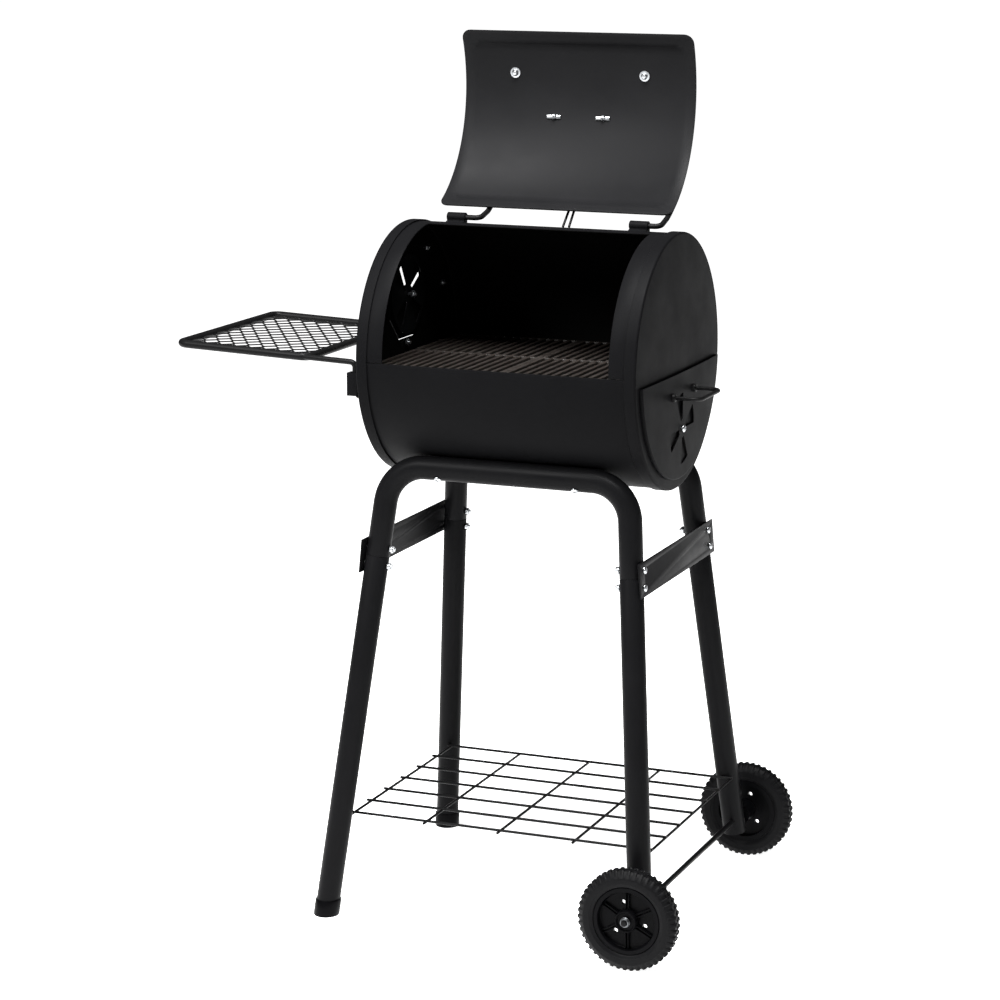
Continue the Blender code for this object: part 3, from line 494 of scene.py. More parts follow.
def add_node(
    tree: bpy.types.NodeTree, kind: str, inputs: dict | None = None, **settings: object
) -> bpy.types.Node:
    """Adds a node with its settings and links.

    Args:
        tree: the node tree.
        kind: the node's type.
        inputs: a value or an output socket for each input by name or number.
        settings: the node's own properties.

    Returns:
        The new node.
    """
    node = tree.nodes.new(kind)
    for key, value in settings.items():
        setattr(node, key, value)
    for socket, value in (inputs or {}).items():
        if isinstance(value, bpy.types.NodeSocket):
            tree.links.new(value, node.inputs[socket])
        else:
            node.inputs[socket].default_value = value
    return node


@dataclass(frozen=True)
class Finish:
    """A black or bare surface: two close colours, a patchy gloss and a fine grain.

    The grain is a real size in millimetres, and the relief is how deep it stands.
    """

    name: str
    colour: str
    fleck: str
    grain_mm: float
    relief_mm: float
    rough: tuple[float, float]
    patch_mm: float = 60.0
    metallic: float = 0.0
    specular: float = 0.5
    dust: str = "#000000"
    dust_share: float = 0.0

    def material(self) -> bpy.types.Material:
        """The finish as a node material, made once."""
        found = bpy.data.materials.get(self.name)
        if found:
            return found
        material = bpy.data.materials.new(self.name)
        material.use_nodes = True
        tree = material.node_tree
        shader = tree.nodes["Principled BSDF"]
        place = add_node(tree, "ShaderNodeTexCoord").outputs["Object"]
        grain = add_node(
            tree,
            "ShaderNodeTexNoise",
            {"Vector": place, "Scale": 1000 / self.grain_mm, "Detail": 3.0, "Roughness": 0.6},
        )
        patch = add_node(
            tree,
            "ShaderNodeTexNoise",
            {"Vector": place, "Scale": 1000 / self.patch_mm, "Detail": 4.0, "Roughness": 0.55},
        )
        # The Mix node has one socket per kind of data, so the colour ones are set by number.
        blend = {0: patch.outputs["Fac"], 6: linear(self.colour), 7: linear(self.fleck)}
        colour = add_node(tree, "ShaderNodeMix", blend, data_type="RGBA").outputs[2]
        if self.dust_share > 0:
            settled = add_node(
                tree,
                "ShaderNodeMapRange",
                {
                    "Value": grain.outputs["Fac"],
                    "From Min": 0.5,
                    "From Max": 0.75,
                    "To Max": self.dust_share,
                },
            )
            blend = {0: settled.outputs[0], 6: colour, 7: linear(self.dust)}
            colour = add_node(tree, "ShaderNodeMix", blend, data_type="RGBA").outputs[2]
        tree.links.new(colour, shader.inputs["Base Color"])
        gloss = add_node(
            tree,
            "ShaderNodeMapRange",
            {
                "Value": patch.outputs["Fac"],
                "From Min": 0.3,
                "From Max": 0.7,
                "To Min": self.rough[0],
                "To Max": self.rough[1],
            },
        )
        tree.links.new(gloss.outputs[0], shader.inputs["Roughness"])
        bump = add_node(
            tree,
            "ShaderNodeBump",
            {"Height": grain.outputs["Fac"], "Strength": 1.0, "Distance": self.relief_mm / 1000},
        )
        tree.links.new(bump.outputs["Normal"], shader.inputs["Normal"])
        shader.inputs["Metallic"].default_value = self.metallic
        if not self.metallic:
            shader.inputs["Specular IOR Level"].default_value = self.specular
        return material


# Stove paint, a silicone enamel sprayed and baked on sheet steel: satin black with a fine grain.
STOVE_PAINT = Finish(
    "stove_paint_satin", "#09090a", "#0d0d0e", 1.6, 0.04, (0.42, 0.52), specular=0.018
)
# The same paint on the ash tray and the grate ledges, dulled by heat: nearly matt.
BAKED_PAINT = Finish(
    "stove_paint_heat_dulled", "#070707", "#0b0a0a", 2.2, 0.05, (0.52, 0.66), specular=0.06
)
# The lid's sheet: the stove paint with a lighter base, painted light for the light that falls on
# its inner face; its broad satin sheen is the lightest one.
LIT_LID_PAINT = Finish(
    "stove_paint_lid_painted_light", "#0f0f10", "#131314", 1.6, 0.04, (0.46, 0.56), specular=0.045
)
# Painted shade on the inner faces: near black and matt, standing for the shade inside the barrel,
# so almost no light comes back.
INSIDE_SHADE = Finish("painted_shade_inside", "#030303", "#060505", 2.6, 0.08, (0.62, 0.80), specular=0.03)
# Powder coat on the tubes: a little coarser than the paint, so highlights run soft along them.
POWDER_COAT = Finish(
    "powder_coat_tube", "#0b0b0c", "#0f0f10", 1.4, 0.04, (0.34, 0.42), specular=0.03
)
# Powder coat on thin wire and expanded metal: thick and slightly glossy.
WIRE_COAT = Finish(
    "powder_coat_wire", "#09090a", "#0d0d0d", 1.2, 0.03, (0.36, 0.46), specular=0.07
)
# Sand-cast grey iron, oiled: rough skin with a brown warmth where the oil has dried.
CAST_IRON = Finish(
    "cast_iron_oiled",
    "#0f0d0b",
    "#16110e",
    1.8,
    0.14,
    (0.38, 0.56),
    22.0,
    dust="#4a3a2f",
    dust_share=0.3,
)
# Blow-moulded polyethylene of the tyres: dull, with a faint pebble.
TYRE_PLASTIC = Finish(
    "polyethylene_tyre", "#09090a", "#0d0d0e", 1.5, 0.05, (0.42, 0.52), 30.0, specular=0.05
)
# Injection-moulded polypropylene of the hubs and foot caps: smoother and darker than the tyres.
HUB_PLASTIC = Finish(
    "polypropylene_hub", "#040405", "#070708", 2.5, 0.015, (0.28, 0.38), 30.0, specular=0.03
)
# Phenolic resin of the lid handle: hard, smooth and half glossy.
PHENOLIC = Finish(
    "phenolic_handle", "#0e0e0f", "#121212", 3.0, 0.01, (0.24, 0.34), 40.0, specular=0.2
)
# Bright zinc plating on the screws: a grey metal with a soft, patchy shine.
ZINC_PLATE = Finish("zinc_plate_bright", "#b9bbbd", "#a2a5a8", 0.8, 0.01, (0.22, 0.36), 5.0, 1.0)
# The same plating gone dull on the axle's caps.
DULL_ZINC = Finish("zinc_plate_dull", "#6e7072", "#56585a", 0.8, 0.02, (0.34, 0.50), 5.0, 1.0)


def present(
    piece: bpy.types.Object,
    body: Body,
    finish: Finish,
    nodes: Iterable[str] = (),
    smooth: float = 35,
    shaded_lining: Callable[[bpy.types.MeshPolygon], bool] | None = None,
) -> bpy.types.Object:
    """Shades, dresses and hands over a finished piece.

    Args:
        piece: the finished mesh.
        body: the body it moves with.
        finish: what it is made of.
        nodes: the frame nodes it stands for.
        smooth: edges flatter than this many degrees are shaded smooth.
        shaded_lining: says which faces inside the barrel get the near-black painted shade.

    Returns:
        The same piece.
    """
    only(piece)
    bpy.ops.object.shade_smooth_by_angle(angle=math.radians(smooth))
    piece.data.materials.clear()
    piece.data.materials.append(finish.material())
    # Faces inside the barrel take a second, near-black material: painted shade.
    if shaded_lining:
        piece.data.materials.append(INSIDE_SHADE.material())
    for polygon in piece.data.polygons:
        polygon.material_index = int(bool(shaded_lining and shaded_lining(polygon)))
    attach(piece, body.value)
    names = list(nodes)
    if names:
        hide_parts(*names)
    LOG.info("%s: %d faces on %s", piece.name, len(piece.data.polygons), body.value)
    return piece


# ---- Barrel ----
@dataclass(frozen=True)
class Barrel:
    """The rolled barrel with its pressed ends.

    Sizes are in metres, and angles in degrees from the rear over the top to the front.
    """

    centre_z: float = 0.825
    radius: float = 0.185
    cap_edge: float = 0.2137
    cap_rim: float = 0.0176
    shoulder: float = 0.012
    rim_bend: float = 0.0036
    wall: float = 0.0013
    crown: float = 0.003
    mouth_rear: float = 94.0
    mouth_front: float = 180.0
    strip: float = 0.0234
    step: float = 2.0
    damper_rise: float = 0.076
    damper_drop: float = 0.0973
    damper_depth: float = 0.0023
    hole_inner: float = 0.014
    hole_outer: float = 0.053
    hole_sweep: float = 33.0
    octagon: float = 0.0715
    octagon_line: float = 0.0015
    octagon_depth: float = 0.0018
    drawer_drop: float = 0.014
    drawer_inset: float = 0.0158
    drawer_overlap: float = 0.005
    drawer_proud: float = 0.0055
    end_screws: tuple[tuple[float, float], ...] = (
        (0.068, 0.138),
        (0.129, 0.077),
        (-0.001, 0.003),
    )

    @property
    def centre_x(self) -> float:
        """The middle of the barrel's length."""
        low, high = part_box("body_shell")
        return (low.x + high.x) / 2

    @property
    def cap_radius(self) -> float:
        """The outer radius of the pressed ends."""
        return self.radius + GAP + SHEET

    @property
    def shell_half(self) -> float:
        """Half the length of the rolled sheet."""
        return self.cap_edge - self.shoulder

    @property
    def mouth_half(self) -> float:
        """Half the width of the mouth."""
        return self.cap_edge - self.cap_rim - self.strip

    def at(self, x: float, radius: float, angle: float) -> Vector:
        """The place at a distance from the barrel's axis.

        Args:
            x: how far along from the middle.
            radius: how far from the axis.
            angle: the angle in degrees.

        Returns:
            The place in the frame.
        """
        t = math.radians(angle)
        y, z = radius * math.cos(t), radius * math.sin(t)
        return Vector((self.centre_x + x, y, self.centre_z + z))

    def curved(self, name: str, xs: Sequence[float], start: float, end: float) -> bpy.types.Object:
        """A curved piece of the barrel's own sheet between two stations and two angles.

        Args:
            name: the piece's name.
            xs: the two stations along the barrel.
            start: the first angle in degrees.
            end: the last angle.

        Returns:
            The closed piece.
        """
        count = max(2, round((end - start) / self.step))
        angles = [start + (end - start) * k / count for k in range(count + 1)]
        outline = [self.at(xs[0], self.radius, a) for a in angles]
        outline += [self.at(xs[0], self.radius - SHEET, a) for a in reversed(angles)]
        return pushed_out(name, outline, (xs[1] - xs[0], 0, 0))

    def cap_profile(
        self, radius: float, edge: float, shoulder: float, depth: float
    ) -> list[tuple[float, float]]:
        """Half the section of a pressed end, from its middle out and back inside.

        Args:
            radius: the end's outer radius.
            edge: where its flat face lies along the barrel.
            shoulder: the radius of the bend at the rim.
            depth: how far the rim reaches back.

        Returns:
            (radius, station) pairs.
        """
        wall = self.wall
        flat = radius - shoulder
        shares = (0, 0.2, 0.4, 0.6, 0.8)
        crown = [(flat * k, edge + self.crown * (1 - k**2)) for k in shares]
        outer = arc(shoulder, 90, 0, 8, (flat, edge - shoulder))
        inner = arc(max(shoulder - wall, FINE_SOFT), 0, 90, 8, (flat, edge - shoulder))
        end = edge - depth
        rim = [(radius, end + PLATE_SOFT), (radius - SOFT, end)]
        rim += [(radius - wall + FINE_SOFT, end), (radius - wall, end + FINE_SOFT)]
        back = [(r, x - wall) for r, x in reversed(crown)]
        return [*crown, *outer, *rim, *inner, *back]

    def faces_in(self, polygon: bpy.types.MeshPolygon) -> bool:
        """Whether a face of the rolled sheet or of an end looks into the barrel.

        Args:
            polygon: the face.

        Returns:
            True for a face that gets the near-black painted shade.
        """
        middle = polygon.center - Vector((self.centre_x, 0, self.centre_z))
        across = abs(polygon.normal.x) > 0.5
        if across:
            inside = math.hypot(middle.y, middle.z) < self.radius - SHEET
            return polygon.normal.x * middle.x < 0 and inside
        return polygon.normal.y * middle.y + polygon.normal.z * middle.z < 0

    def wedges(self, name: str, x: float, height: float, turn: float = 0) -> list[bpy.types.Object]:
        """Cutters for the four draught holes round a damper's centre.

        Args:
            name: what the cutters are called.
            x: where the face lies along the barrel.
            height: the height of the centre.
            turn: how far the pattern is turned, in degrees.

        Returns:
            The four cutters.
        """
        cutters = []
        for k in range(4):
            start = turn + 90 * k
            end = start + self.hole_sweep
            shape = arc(self.hole_outer, start, end, 8) + arc(self.hole_inner, end, start, 3)
            places = [(self.centre_x + x - CUT_REACH, y, height + z) for y, z in shape]
            cutters.append(pushed_out(f"{name}_{k}", places, (2 * CUT_REACH, 0, 0)))
        return cutters

    def lower_half(self, radius: float, drop: float, count: int) -> list[tuple[float, float]]:
        """The part of a circle round the barrel's axis that lies lower than a drop below it.

        Args:
            radius: the circle's radius.
            drop: how far below the axis it starts.
            count: how many steps go round it.

        Returns:
            (y, z) pairs from the axis.
        """
        dip = math.degrees(math.asin(drop / radius))
        return arc(radius, 180 + dip, 360 - dip, count)

    def build(self) -> None:
        """Makes the rolled sheet, the strips beside the mouth, the ledges and both ends."""
        shell = self.curved(
            "rolled_barrel_sheet", (-self.shell_half, self.shell_half), 180, self.mouth_rear + 360
        )
        rounded(shell, SOFT)
        present(shell, Body.STAND, STOVE_PAINT, ["body_shell"], shaded_lining=self.faces_in)
        slip = math.degrees(2 * GAP / self.radius)
        for side, sign in SIDES:
            xs = sorted((sign * self.mouth_half, sign * self.shell_half))
            strip = self.curved(
                f"{side}_mouth_edge_strip", xs, self.mouth_rear + slip, self.mouth_front - slip
            )
            rounded(strip, SOFT)
            present(strip, Body.STAND, STOVE_PAINT, [f"{side}_mouth_strip"])
            self.build_end(side, sign)
        for side, _ in DEPTHS:
            ledge = refined(f"{side}_grate_ledge", f"{side}_folded_grate_ledge", SOFT)
            present(ledge, Body.STAND, BAKED_PAINT, [f"{side}_grate_ledge"])

    def build_end(self, side: str, sign: int) -> None:
        """Makes one pressed end: draught holes in the left, the drawer's mouth in the right.

        Args:
            side: which end it is.
            sign: which way it faces along X.
        """
        profile = self.cap_profile(self.cap_radius, self.cap_edge, self.rim_bend, self.cap_rim)
        place = aimed((self.centre_x, 0, self.centre_z), (sign, 0, 0))
        end = turned(f"{side}_pressed_end", profile, 120, place)
        if sign < 0:
            height = self.centre_z + self.damper_rise
            cut(end, *self.wedges("draught", -self.cap_edge, height))
            self.stamp_octagon(end, height)
        else:
            opening = self.cap_radius - self.drawer_inset - self.drawer_overlap
            shape = self.lower_half(opening, self.drawer_drop + self.drawer_overlap, 60)
            x = self.centre_x + self.cap_edge - CUT_REACH
            places = [(x, y, self.centre_z + z) for y, z in shape]
            cut(end, pushed_out("drawer_mouth", places, (2 * CUT_REACH, 0, 0)))
        weld(end, 1e-5)
        node = f"{side}_end_cap"
        present(end, Body.STAND, STOVE_PAINT, [node], 30, self.faces_in)

    def stamp_octagon(self, end: bpy.types.Object, height: float) -> None:
        """Presses a shallow eight-sided line round the draught holes.

        Args:
            end: the pressed end.
            height: the height of the holes' centre.
        """
        face = self.centre_x - self.cap_edge - self.crown
        lead = 0.002
        rings = []
        for radius in (self.octagon, self.octagon - self.octagon_line):
            shape = arc(radius, 22.5, 382.5, 8)[:-1]
            rings.append([(face - lead, y, height + z) for y, z in shape])
        outer = pushed_out("octagon_outer", rings[0], (lead + self.octagon_depth, 0, 0))
        inner = pushed_out("octagon_inner", rings[1], (3 * lead, 0, 0))
        cut(outer, inner)
        cut(end, outer)

    def build_end_screws(self) -> None:
        """Puts the three small screws in the left end."""
        for k, (y, z) in enumerate(self.end_screws):
            share = 1 - (math.hypot(y, z) / (self.cap_radius - self.rim_bend)) ** 2
            face = self.centre_x - self.cap_edge - self.crown * share
            seat = (face, y, self.centre_z + z)
            screw = SCREW.build(f"left_end_screw_{k}", seat, (-1, 0, 0), self.wall)
            present(screw, Body.STAND, ZINC_PLATE)


BARREL = Barrel()


# ---- Screws ----
@dataclass(frozen=True)
class PanScrew:
    """An M6 pan-head machine screw with a cross recess, and its hexagon nut."""

    shank: float = 0.003
    head: float = 0.0055
    head_height: float = 0.003
    nut: float = 0.0058
    nut_height: float = 0.005
    tail: float = 0.003
    recess: float = 0.0011

    def build(
        self, name: str, seat: Sequence[float], direction: Sequence[float], grip: float
    ) -> bpy.types.Object:
        """Makes a screw whose head sits on the seat.

        Args:
            name: the piece's name.
            seat: where the underside of the head rests.
            direction: which way the head points.
            grip: how much metal lies between the head and the nut.

        Returns:
            The screw and its nut as one piece.
        """
        low = -grip - self.nut_height - self.tail
        profile = [(0, self.head_height), (self.head * 0.55, self.head_height * 0.96)]
        profile += [(self.head * 0.86, self.head_height * 0.7), (self.head, self.head_height * 0.3)]
        profile += [(self.head, GAP), (self.shank, GAP), (self.shank, low + SOFT)]
        profile += [(self.shank - SOFT, low), (0, low)]
        screw = turned(name, profile, 24)
        long, wide, deep = self.head, self.recess, 2 * self.recess
        for size in ((wide, long, deep), (long, wide, deep)):
            cut(screw, block(size, (0, 0, self.head_height)))
        middle = -grip - GAP - self.nut_height / 2
        nut = rounded(peg(6, self.nut, self.nut_height - GAP, (0, 0, middle)), SOFT)
        screw = joined(name, [screw, nut])
        screw.data.transform(aimed(seat, direction))
        return screw


SCREW = PanScrew()


# ---- Dampers, drawer and grates ----
@dataclass(frozen=True)
class Damper:
    """A turning draught disc close behind the holes of a face, and the screw it turns on."""

    name: str
    body: Body
    holder: Body
    x: float
    height: float
    outward: int
    radius: float = 0.060
    bore: float = 0.0036
    thick: float = 0.0012
    soft: float = 0.0003
    shut_turn: float = 30.0
    stand_off: float = 0.001

    def build_disc(self) -> None:
        """Makes the disc."""
        half = self.thick / 2
        profile = [(self.bore, -half), (self.radius - self.soft, -half)]
        profile += [(self.radius, -half + self.soft), (self.radius, half - self.soft)]
        profile += [(self.radius - self.soft, half), (self.bore, half)]
        place = aimed((BARREL.centre_x + self.x, 0, self.height), (1, 0, 0))
        disc = turned(f"{self.name}_draught_disc", profile, 72, place, ring=True)
        cut(disc, *BARREL.wedges("disc_hole", self.x, self.height, self.shut_turn))
        present(disc, self.body, STOVE_PAINT, [f"{self.name}_disc"])

    def build_screw(self) -> None:
        """Makes the screw through the disc and the face."""
        reach = self.outward * (BARREL.crown + SHEET + self.stand_off)
        seat = (BARREL.centre_x + self.x + reach, 0, self.height)
        grip = BARREL.crown + 3 * SHEET + 2 * self.stand_off
        screw = SCREW.build(f"{self.name}_screw", seat, (self.outward, 0, 0), grip)
        present(screw, self.holder, ZINC_PLATE, [f"{self.name}_bolt"])


@dataclass(frozen=True)
class AshDrawer:
    """The slide-out lower right end with its half-round ash tray, wire pull and fire grate."""

    front_bend: float = 0.0025
    tray_drop: float = 0.034
    tray_clearance: float = 0.0025
    tray_left: float = -0.203
    pull_wire: float = 0.003
    pull_half: float = 0.047
    pull_reach: float = 0.041
    pull_drop: float = 0.045
    pull_bend: float = 0.014
    grate_soft: float = 0.0010

    def build(self) -> None:
        """Makes the front, the tray, the pull and the fire grate."""
        self.build_front()
        self.build_tray()
        self.build_pull()
        grate = refined("fire_grate", "cast_fire_grate", self.grate_soft)
        present(grate, Body.FIRE_GRATE, CAST_IRON, ["fire_grate"])

    def build_front(self) -> None:
        """Makes the proud half-round front with its draught holes."""
        radius = BARREL.cap_radius - BARREL.drawer_inset
        edge = BARREL.cap_edge + BARREL.drawer_proud
        depth = BARREL.drawer_proud - GAP
        profile = BARREL.cap_profile(radius, edge, self.front_bend, depth)
        place = aimed((BARREL.centre_x, 0, BARREL.centre_z), (1, 0, 0))
        front = turned("drawer_pressed_front", profile, 120, place)
        level = BARREL.centre_z - BARREL.drawer_drop

        def slice_top() -> None:
            """Cuts off all above the parting line."""
            bpy.ops.mesh.bisect(
                plane_co=(0, 0, level), plane_no=(0, 0, 1), use_fill=True, clear_outer=True
            )

        edit(front, slice_top)
        weld(front, 1e-5)
        height = BARREL.centre_z - BARREL.damper_drop
        cut(front, *BARREL.wedges("drawer_draught", edge, height))
        present(front, Body.DRAWER, STOVE_PAINT, ["drawer_front"], 30)

    def build_tray(self) -> None:
        """Makes the half-round trough behind the front."""
        radius = BARREL.cap_radius - BARREL.drawer_inset - BARREL.drawer_overlap
        radius -= self.tray_clearance
        end = BARREL.cap_edge + BARREL.drawer_proud - SHEET - GAP
        shapes = (
            BARREL.lower_half(radius, self.tray_drop, 80),
            BARREL.lower_half(radius - SHEET, SHEET, 80),
        )
        start = BARREL.centre_x + self.tray_left
        length = end - self.tray_left
        outer = [(start, y, BARREL.centre_z + z) for y, z in shapes[0]]
        inner = [(start + SHEET, y, BARREL.centre_z + z) for y, z in shapes[1]]
        tray = pushed_out("half_round_ash_tray", outer, (length, 0, 0))
        cut(tray, pushed_out("tray_hollow", inner, (length, 0, 0)))
        rounded(tray, FINE_SOFT)
        present(tray, Body.DRAWER, BAKED_PAINT, ["ash_tray"])

    def build_pull(self) -> None:
        """Makes the bent wire pull and the two collars where it meets the front."""
        root = BARREL.centre_x + BARREL.cap_edge + BARREL.drawer_proud + BARREL.crown + GAP
        tip = root + self.pull_reach
        height = BARREL.centre_z - self.pull_drop
        low = [(root, -self.pull_half, height), (tip, -self.pull_half, height)]
        route = low + [(x, -y, z) for x, y, z in reversed(low)]
        pull = tube("drawer_wire_pull", bent(route, self.pull_bend, 12), self.pull_wire, 20)
        pieces = [pull]
        for sign in (-1, 1):
            profile = [(0, 0.0042), (0.0034, 0.0042), (0.0058, 0.0034), (0.0062, 0.0004)]
            profile += [(0.0062, -0.0002), (0, -0.0002)]
            place = aimed((root, sign * self.pull_half, height), (1, 0, 0))
            pieces.append(turned("pull_collar", profile, 28, place))
        pull = joined("drawer_wire_pull", pieces)
        present(pull, Body.DRAWER, WIRE_COAT, ["drawer_pull"])


def build_cooking_grates() -> None:
    """Makes the two cooking grates, with the edges of their bars rounded as a casting's are."""
    for side, body in (("left", Body.LEFT_GRATE), ("right", Body.RIGHT_GRATE)):
        node = f"{side}_cooking_grate"
        grate = refined(node, f"{side}_cast_cooking_grate", CAST_SOFT, 3)
        present(grate, body, CAST_IRON, [node])


# ---- Lid ----
@dataclass(frozen=True)
class Lid:
    """The curved lid: shaped shut round the barrel's axis, then turned open about its hinge."""

    inner: float = 0.188
    half: float = 0.183
    rear: float = 92.0
    front: float = 183.0
    border: float = 0.022
    ramp: float = 0.004
    rise: float = 0.002
    corner: float = 0.014
    field_corner: float = 0.010
    open_angle: float = 156.8
    hinge_angle: float = 83.3
    hinge_standoff: float = 0.0078
    sleeve_radius: float = 0.007
    sleeve_length: float = 0.029
    rod: float = 0.004
    rod_bend: float = 0.009
    handle_half: float = 0.1026
    handle_angle: float = 163.0
    handle_radius: float = 0.008
    handle_reach: float = 0.038
    handle_bend: float = 0.020
    plate_angle: float = 143.5
    clip_half: float = 0.039

    @property
    def hinge(self) -> Vector:
        """The hinge line's place in the plane of the barrel's section."""
        return BARREL.at(0, BARREL.radius + self.hinge_standoff, self.hinge_angle)

    @property
    def opened(self) -> Matrix:
        """The turn that opens the lid."""
        turn = Matrix.Rotation(math.radians(-self.open_angle), 4, "X")
        return Matrix.Translation(self.hinge) @ turn @ Matrix.Translation(-self.hinge)

    def build(self) -> None:
        """Makes the pressed lid, its handle, its plate, the screws inside and the hinges."""
        self.build_shell()
        self.build_handle()
        self.build_plate()
        self.build_hinges()

    def outline(self, inset: float, radius: float, half_arc: float) -> list[tuple[float, float]]:
        """A rounded rectangle inside the flat lid's edge, the same count of points for each.

        Args:
            inset: how far inside the edge.
            radius: the radius of its corners.
            half_arc: half the lid's length along its curve.

        Returns:
            The corner arcs' points in order.
        """
        wide, tall = self.half - inset - radius, half_arc - inset - radius
        points = []
        for k, (x, y) in enumerate(((wide, tall), (-wide, tall), (-wide, -tall), (wide, -tall))):
            points += arc(radius, 90 * k, 90 * k + 90, 6, (x, y))
        return points

    def build_shell(self) -> None:
        """Makes the lid flat with its pressed field, then rolls it."""
        middle = math.radians((self.rear + self.front) / 2)
        radius = self.inner
        half_arc = radius * math.radians(self.front - self.rear) / 2
        edge = self.outline(0, self.corner, half_arc)
        flat = chain("pressed_lid", [(x, y, 0) for x, y in edge], closed=True)
        rings = (
            (self.border - self.ramp, self.field_corner + self.ramp, 0),
            (self.border, self.field_corner, self.rise),
        )
        for inset, corner, height in rings:
            inner = self.outline(inset, corner, half_arc)
            self.step_in(flat, edge, inner, height)
            edge = inner
        edit(flat, bpy.ops.mesh.edge_face_add, whole=False)
        stations = round((self.front - self.rear) / BARREL.step)
        for k in range(1, stations):
            level = -half_arc + 2 * half_arc * k / stations

            def slice_at(level: float = level) -> None:
                """Cuts a line across, so that the sheet can roll."""
                bpy.ops.mesh.bisect(plane_co=(0, level, 0), plane_no=(0, 1, 0))

            edit(flat, slice_at)
        weld(flat)
        for vertex in flat.data.vertices:
            across, along, up = vertex.co
            turn = math.degrees(middle + along / radius)
            vertex.co = BARREL.at(across, radius + up, turn)
        edit(flat, lambda: bpy.ops.mesh.normals_make_consistent(inside=False))
        probe = min(flat.data.polygons, key=lambda p: abs(p.center.x - BARREL.centre_x))
        outward = probe.center - Vector((probe.center.x, 0, BARREL.centre_z))
        if probe.normal.dot(outward) < 0:
            edit(flat, bpy.ops.mesh.flip_normals)
        modify(flat, "SOLIDIFY", thickness=SHEET, offset=1)
        rounded(flat, SOFT)
        flat.data.transform(self.opened)
        # The lid gets the lighter paint: painted light for its lit inner face.
        present(flat, Body.LID, LIT_LID_PAINT, ["lid_shell"], 30)

    def step_in(
        self,
        flat: bpy.types.Object,
        edge: Sequence[tuple[float, float]],
        inner: Sequence[tuple[float, float]],
        height: float,
    ) -> None:
        """Draws the selected edge of the flat lid in to the next outline, and up.

        Args:
            flat: the flat lid.
            edge: the outline that is selected.
            inner: the outline that it goes to, point by point.
            height: how high that lies.
        """
        edit(flat, bpy.ops.mesh.extrude_region_move, whole=False)
        for vertex in flat.data.vertices:
            if vertex.select:
                here = vertex.co
                k = min(range(len(edge)), key=lambda i: math.dist(edge[i], here[:2]))
                vertex.co = (*inner[k], height)

    def build_handle(self) -> None:
        """Makes the round bar handle and the two screws that hold it from inside."""
        foot = self.inner + SHEET + self.rise + GAP
        tip = foot + self.handle_reach
        route = [BARREL.at(-self.handle_half, r, self.handle_angle) for r in (foot, tip)]
        route += [BARREL.at(self.handle_half, r, self.handle_angle) for r in (tip, foot)]
        handle = tube("lid_bar_handle", bent(route, self.handle_bend, 12), self.handle_radius, 24)
        rounded(handle, 0.1 * self.handle_radius)
        handle.data.transform(self.opened)
        present(handle, Body.LID, PHENOLIC, ["lid_handle"])
        inside = self.inner + self.rise - GAP
        for sign in (-1, 1):
            for name, half, angle, shape in (
                ("handle_screw", self.handle_half, self.handle_angle, self.inner_screw),
                ("plate_clip", self.clip_half, self.plate_angle, self.plate_clip),
            ):
                seat = BARREL.at(sign * half, inside, angle)
                toward = BARREL.at(sign * half, 0, angle) - seat
                screw = shape(f"{name}_{sign}")
                screw.data.transform(aimed(seat, toward))
                screw.data.transform(self.opened)
                present(screw, Body.LID, ZINC_PLATE)

    def inner_screw(self, name: str) -> bpy.types.Object:
        """A domed screw head on its washer, upright on the origin."""
        profile = [(0, 0.0062), (0.0030, 0.0056), (0.0047, 0.0036), (0.0052, 0.0014)]
        profile += [(0.0078, 0.0012), (0.0080, 0.0002), (0, 0.0002)]
        return turned(name, profile, 28)

    def plate_clip(self, name: str) -> bpy.types.Object:
        """The plate's stud with its push-on spring clip, upright on the origin.

        Args:
            name: the piece's name.

        Returns:
            The stud and clip as one piece.
        """
        pin = [(0, 0.0080), (0.0012, 0.0078), (0.0016, 0.0070), (0.0016, 0), (0, 0)]
        cap = [(0, 0.0045), (0.0028, 0.0042), (0.0042, 0.0026), (0.0048, 0.0008)]
        cap += [(0.0048, 0.0002), (0, 0.0002)]
        bar = rounded(block((0.022, 0.0052, 0.0010), (0, 0, 0.0016)), FINE_SOFT)
        return joined(name, [turned(name, pin, 16), turned("clip_dome", cap, 20), bar])

    def build_plate(self) -> None:
        """Makes the plain badge plate on the lid's outer face."""
        plate = refined("lid_badge_plate", "lid_plain_plate", PLATE_SOFT)
        present(plate, Body.LID, WIRE_COAT, ["lid_badge_plate"])

    def strap(self, sleeve_x: float) -> bpy.types.Object:
        """The folded foot that holds a hinge sleeve on the barrel.

        Args:
            sleeve_x: the middle of the sleeve along the barrel.

        Returns:
            The foot in its place.
        """
        hinge = self.hinge
        x = BARREL.centre_x + sleeve_x
        half = self.sleeve_length / 2 - SOFT
        shape = [(-0.0066, 0.0), (-0.0062, -0.0048), (-0.0150, -0.0070), (-0.0150, -0.0084)]
        shape += [(0.0150, -0.0118), (0.0150, -0.0104), (0.0062, -0.0084), (0.0066, 0.0)]
        shape += [(0.0046, 0.0), (0.0044, -0.0072), (-0.0044, -0.0060), (-0.0046, 0.0)]
        places = [(x - half, hinge.y + u, hinge.z + w) for u, w in shape]
        strap = pushed_out("hinge_strap", places, (2 * half, 0, 0))
        return rounded(strap, FINE_SOFT)

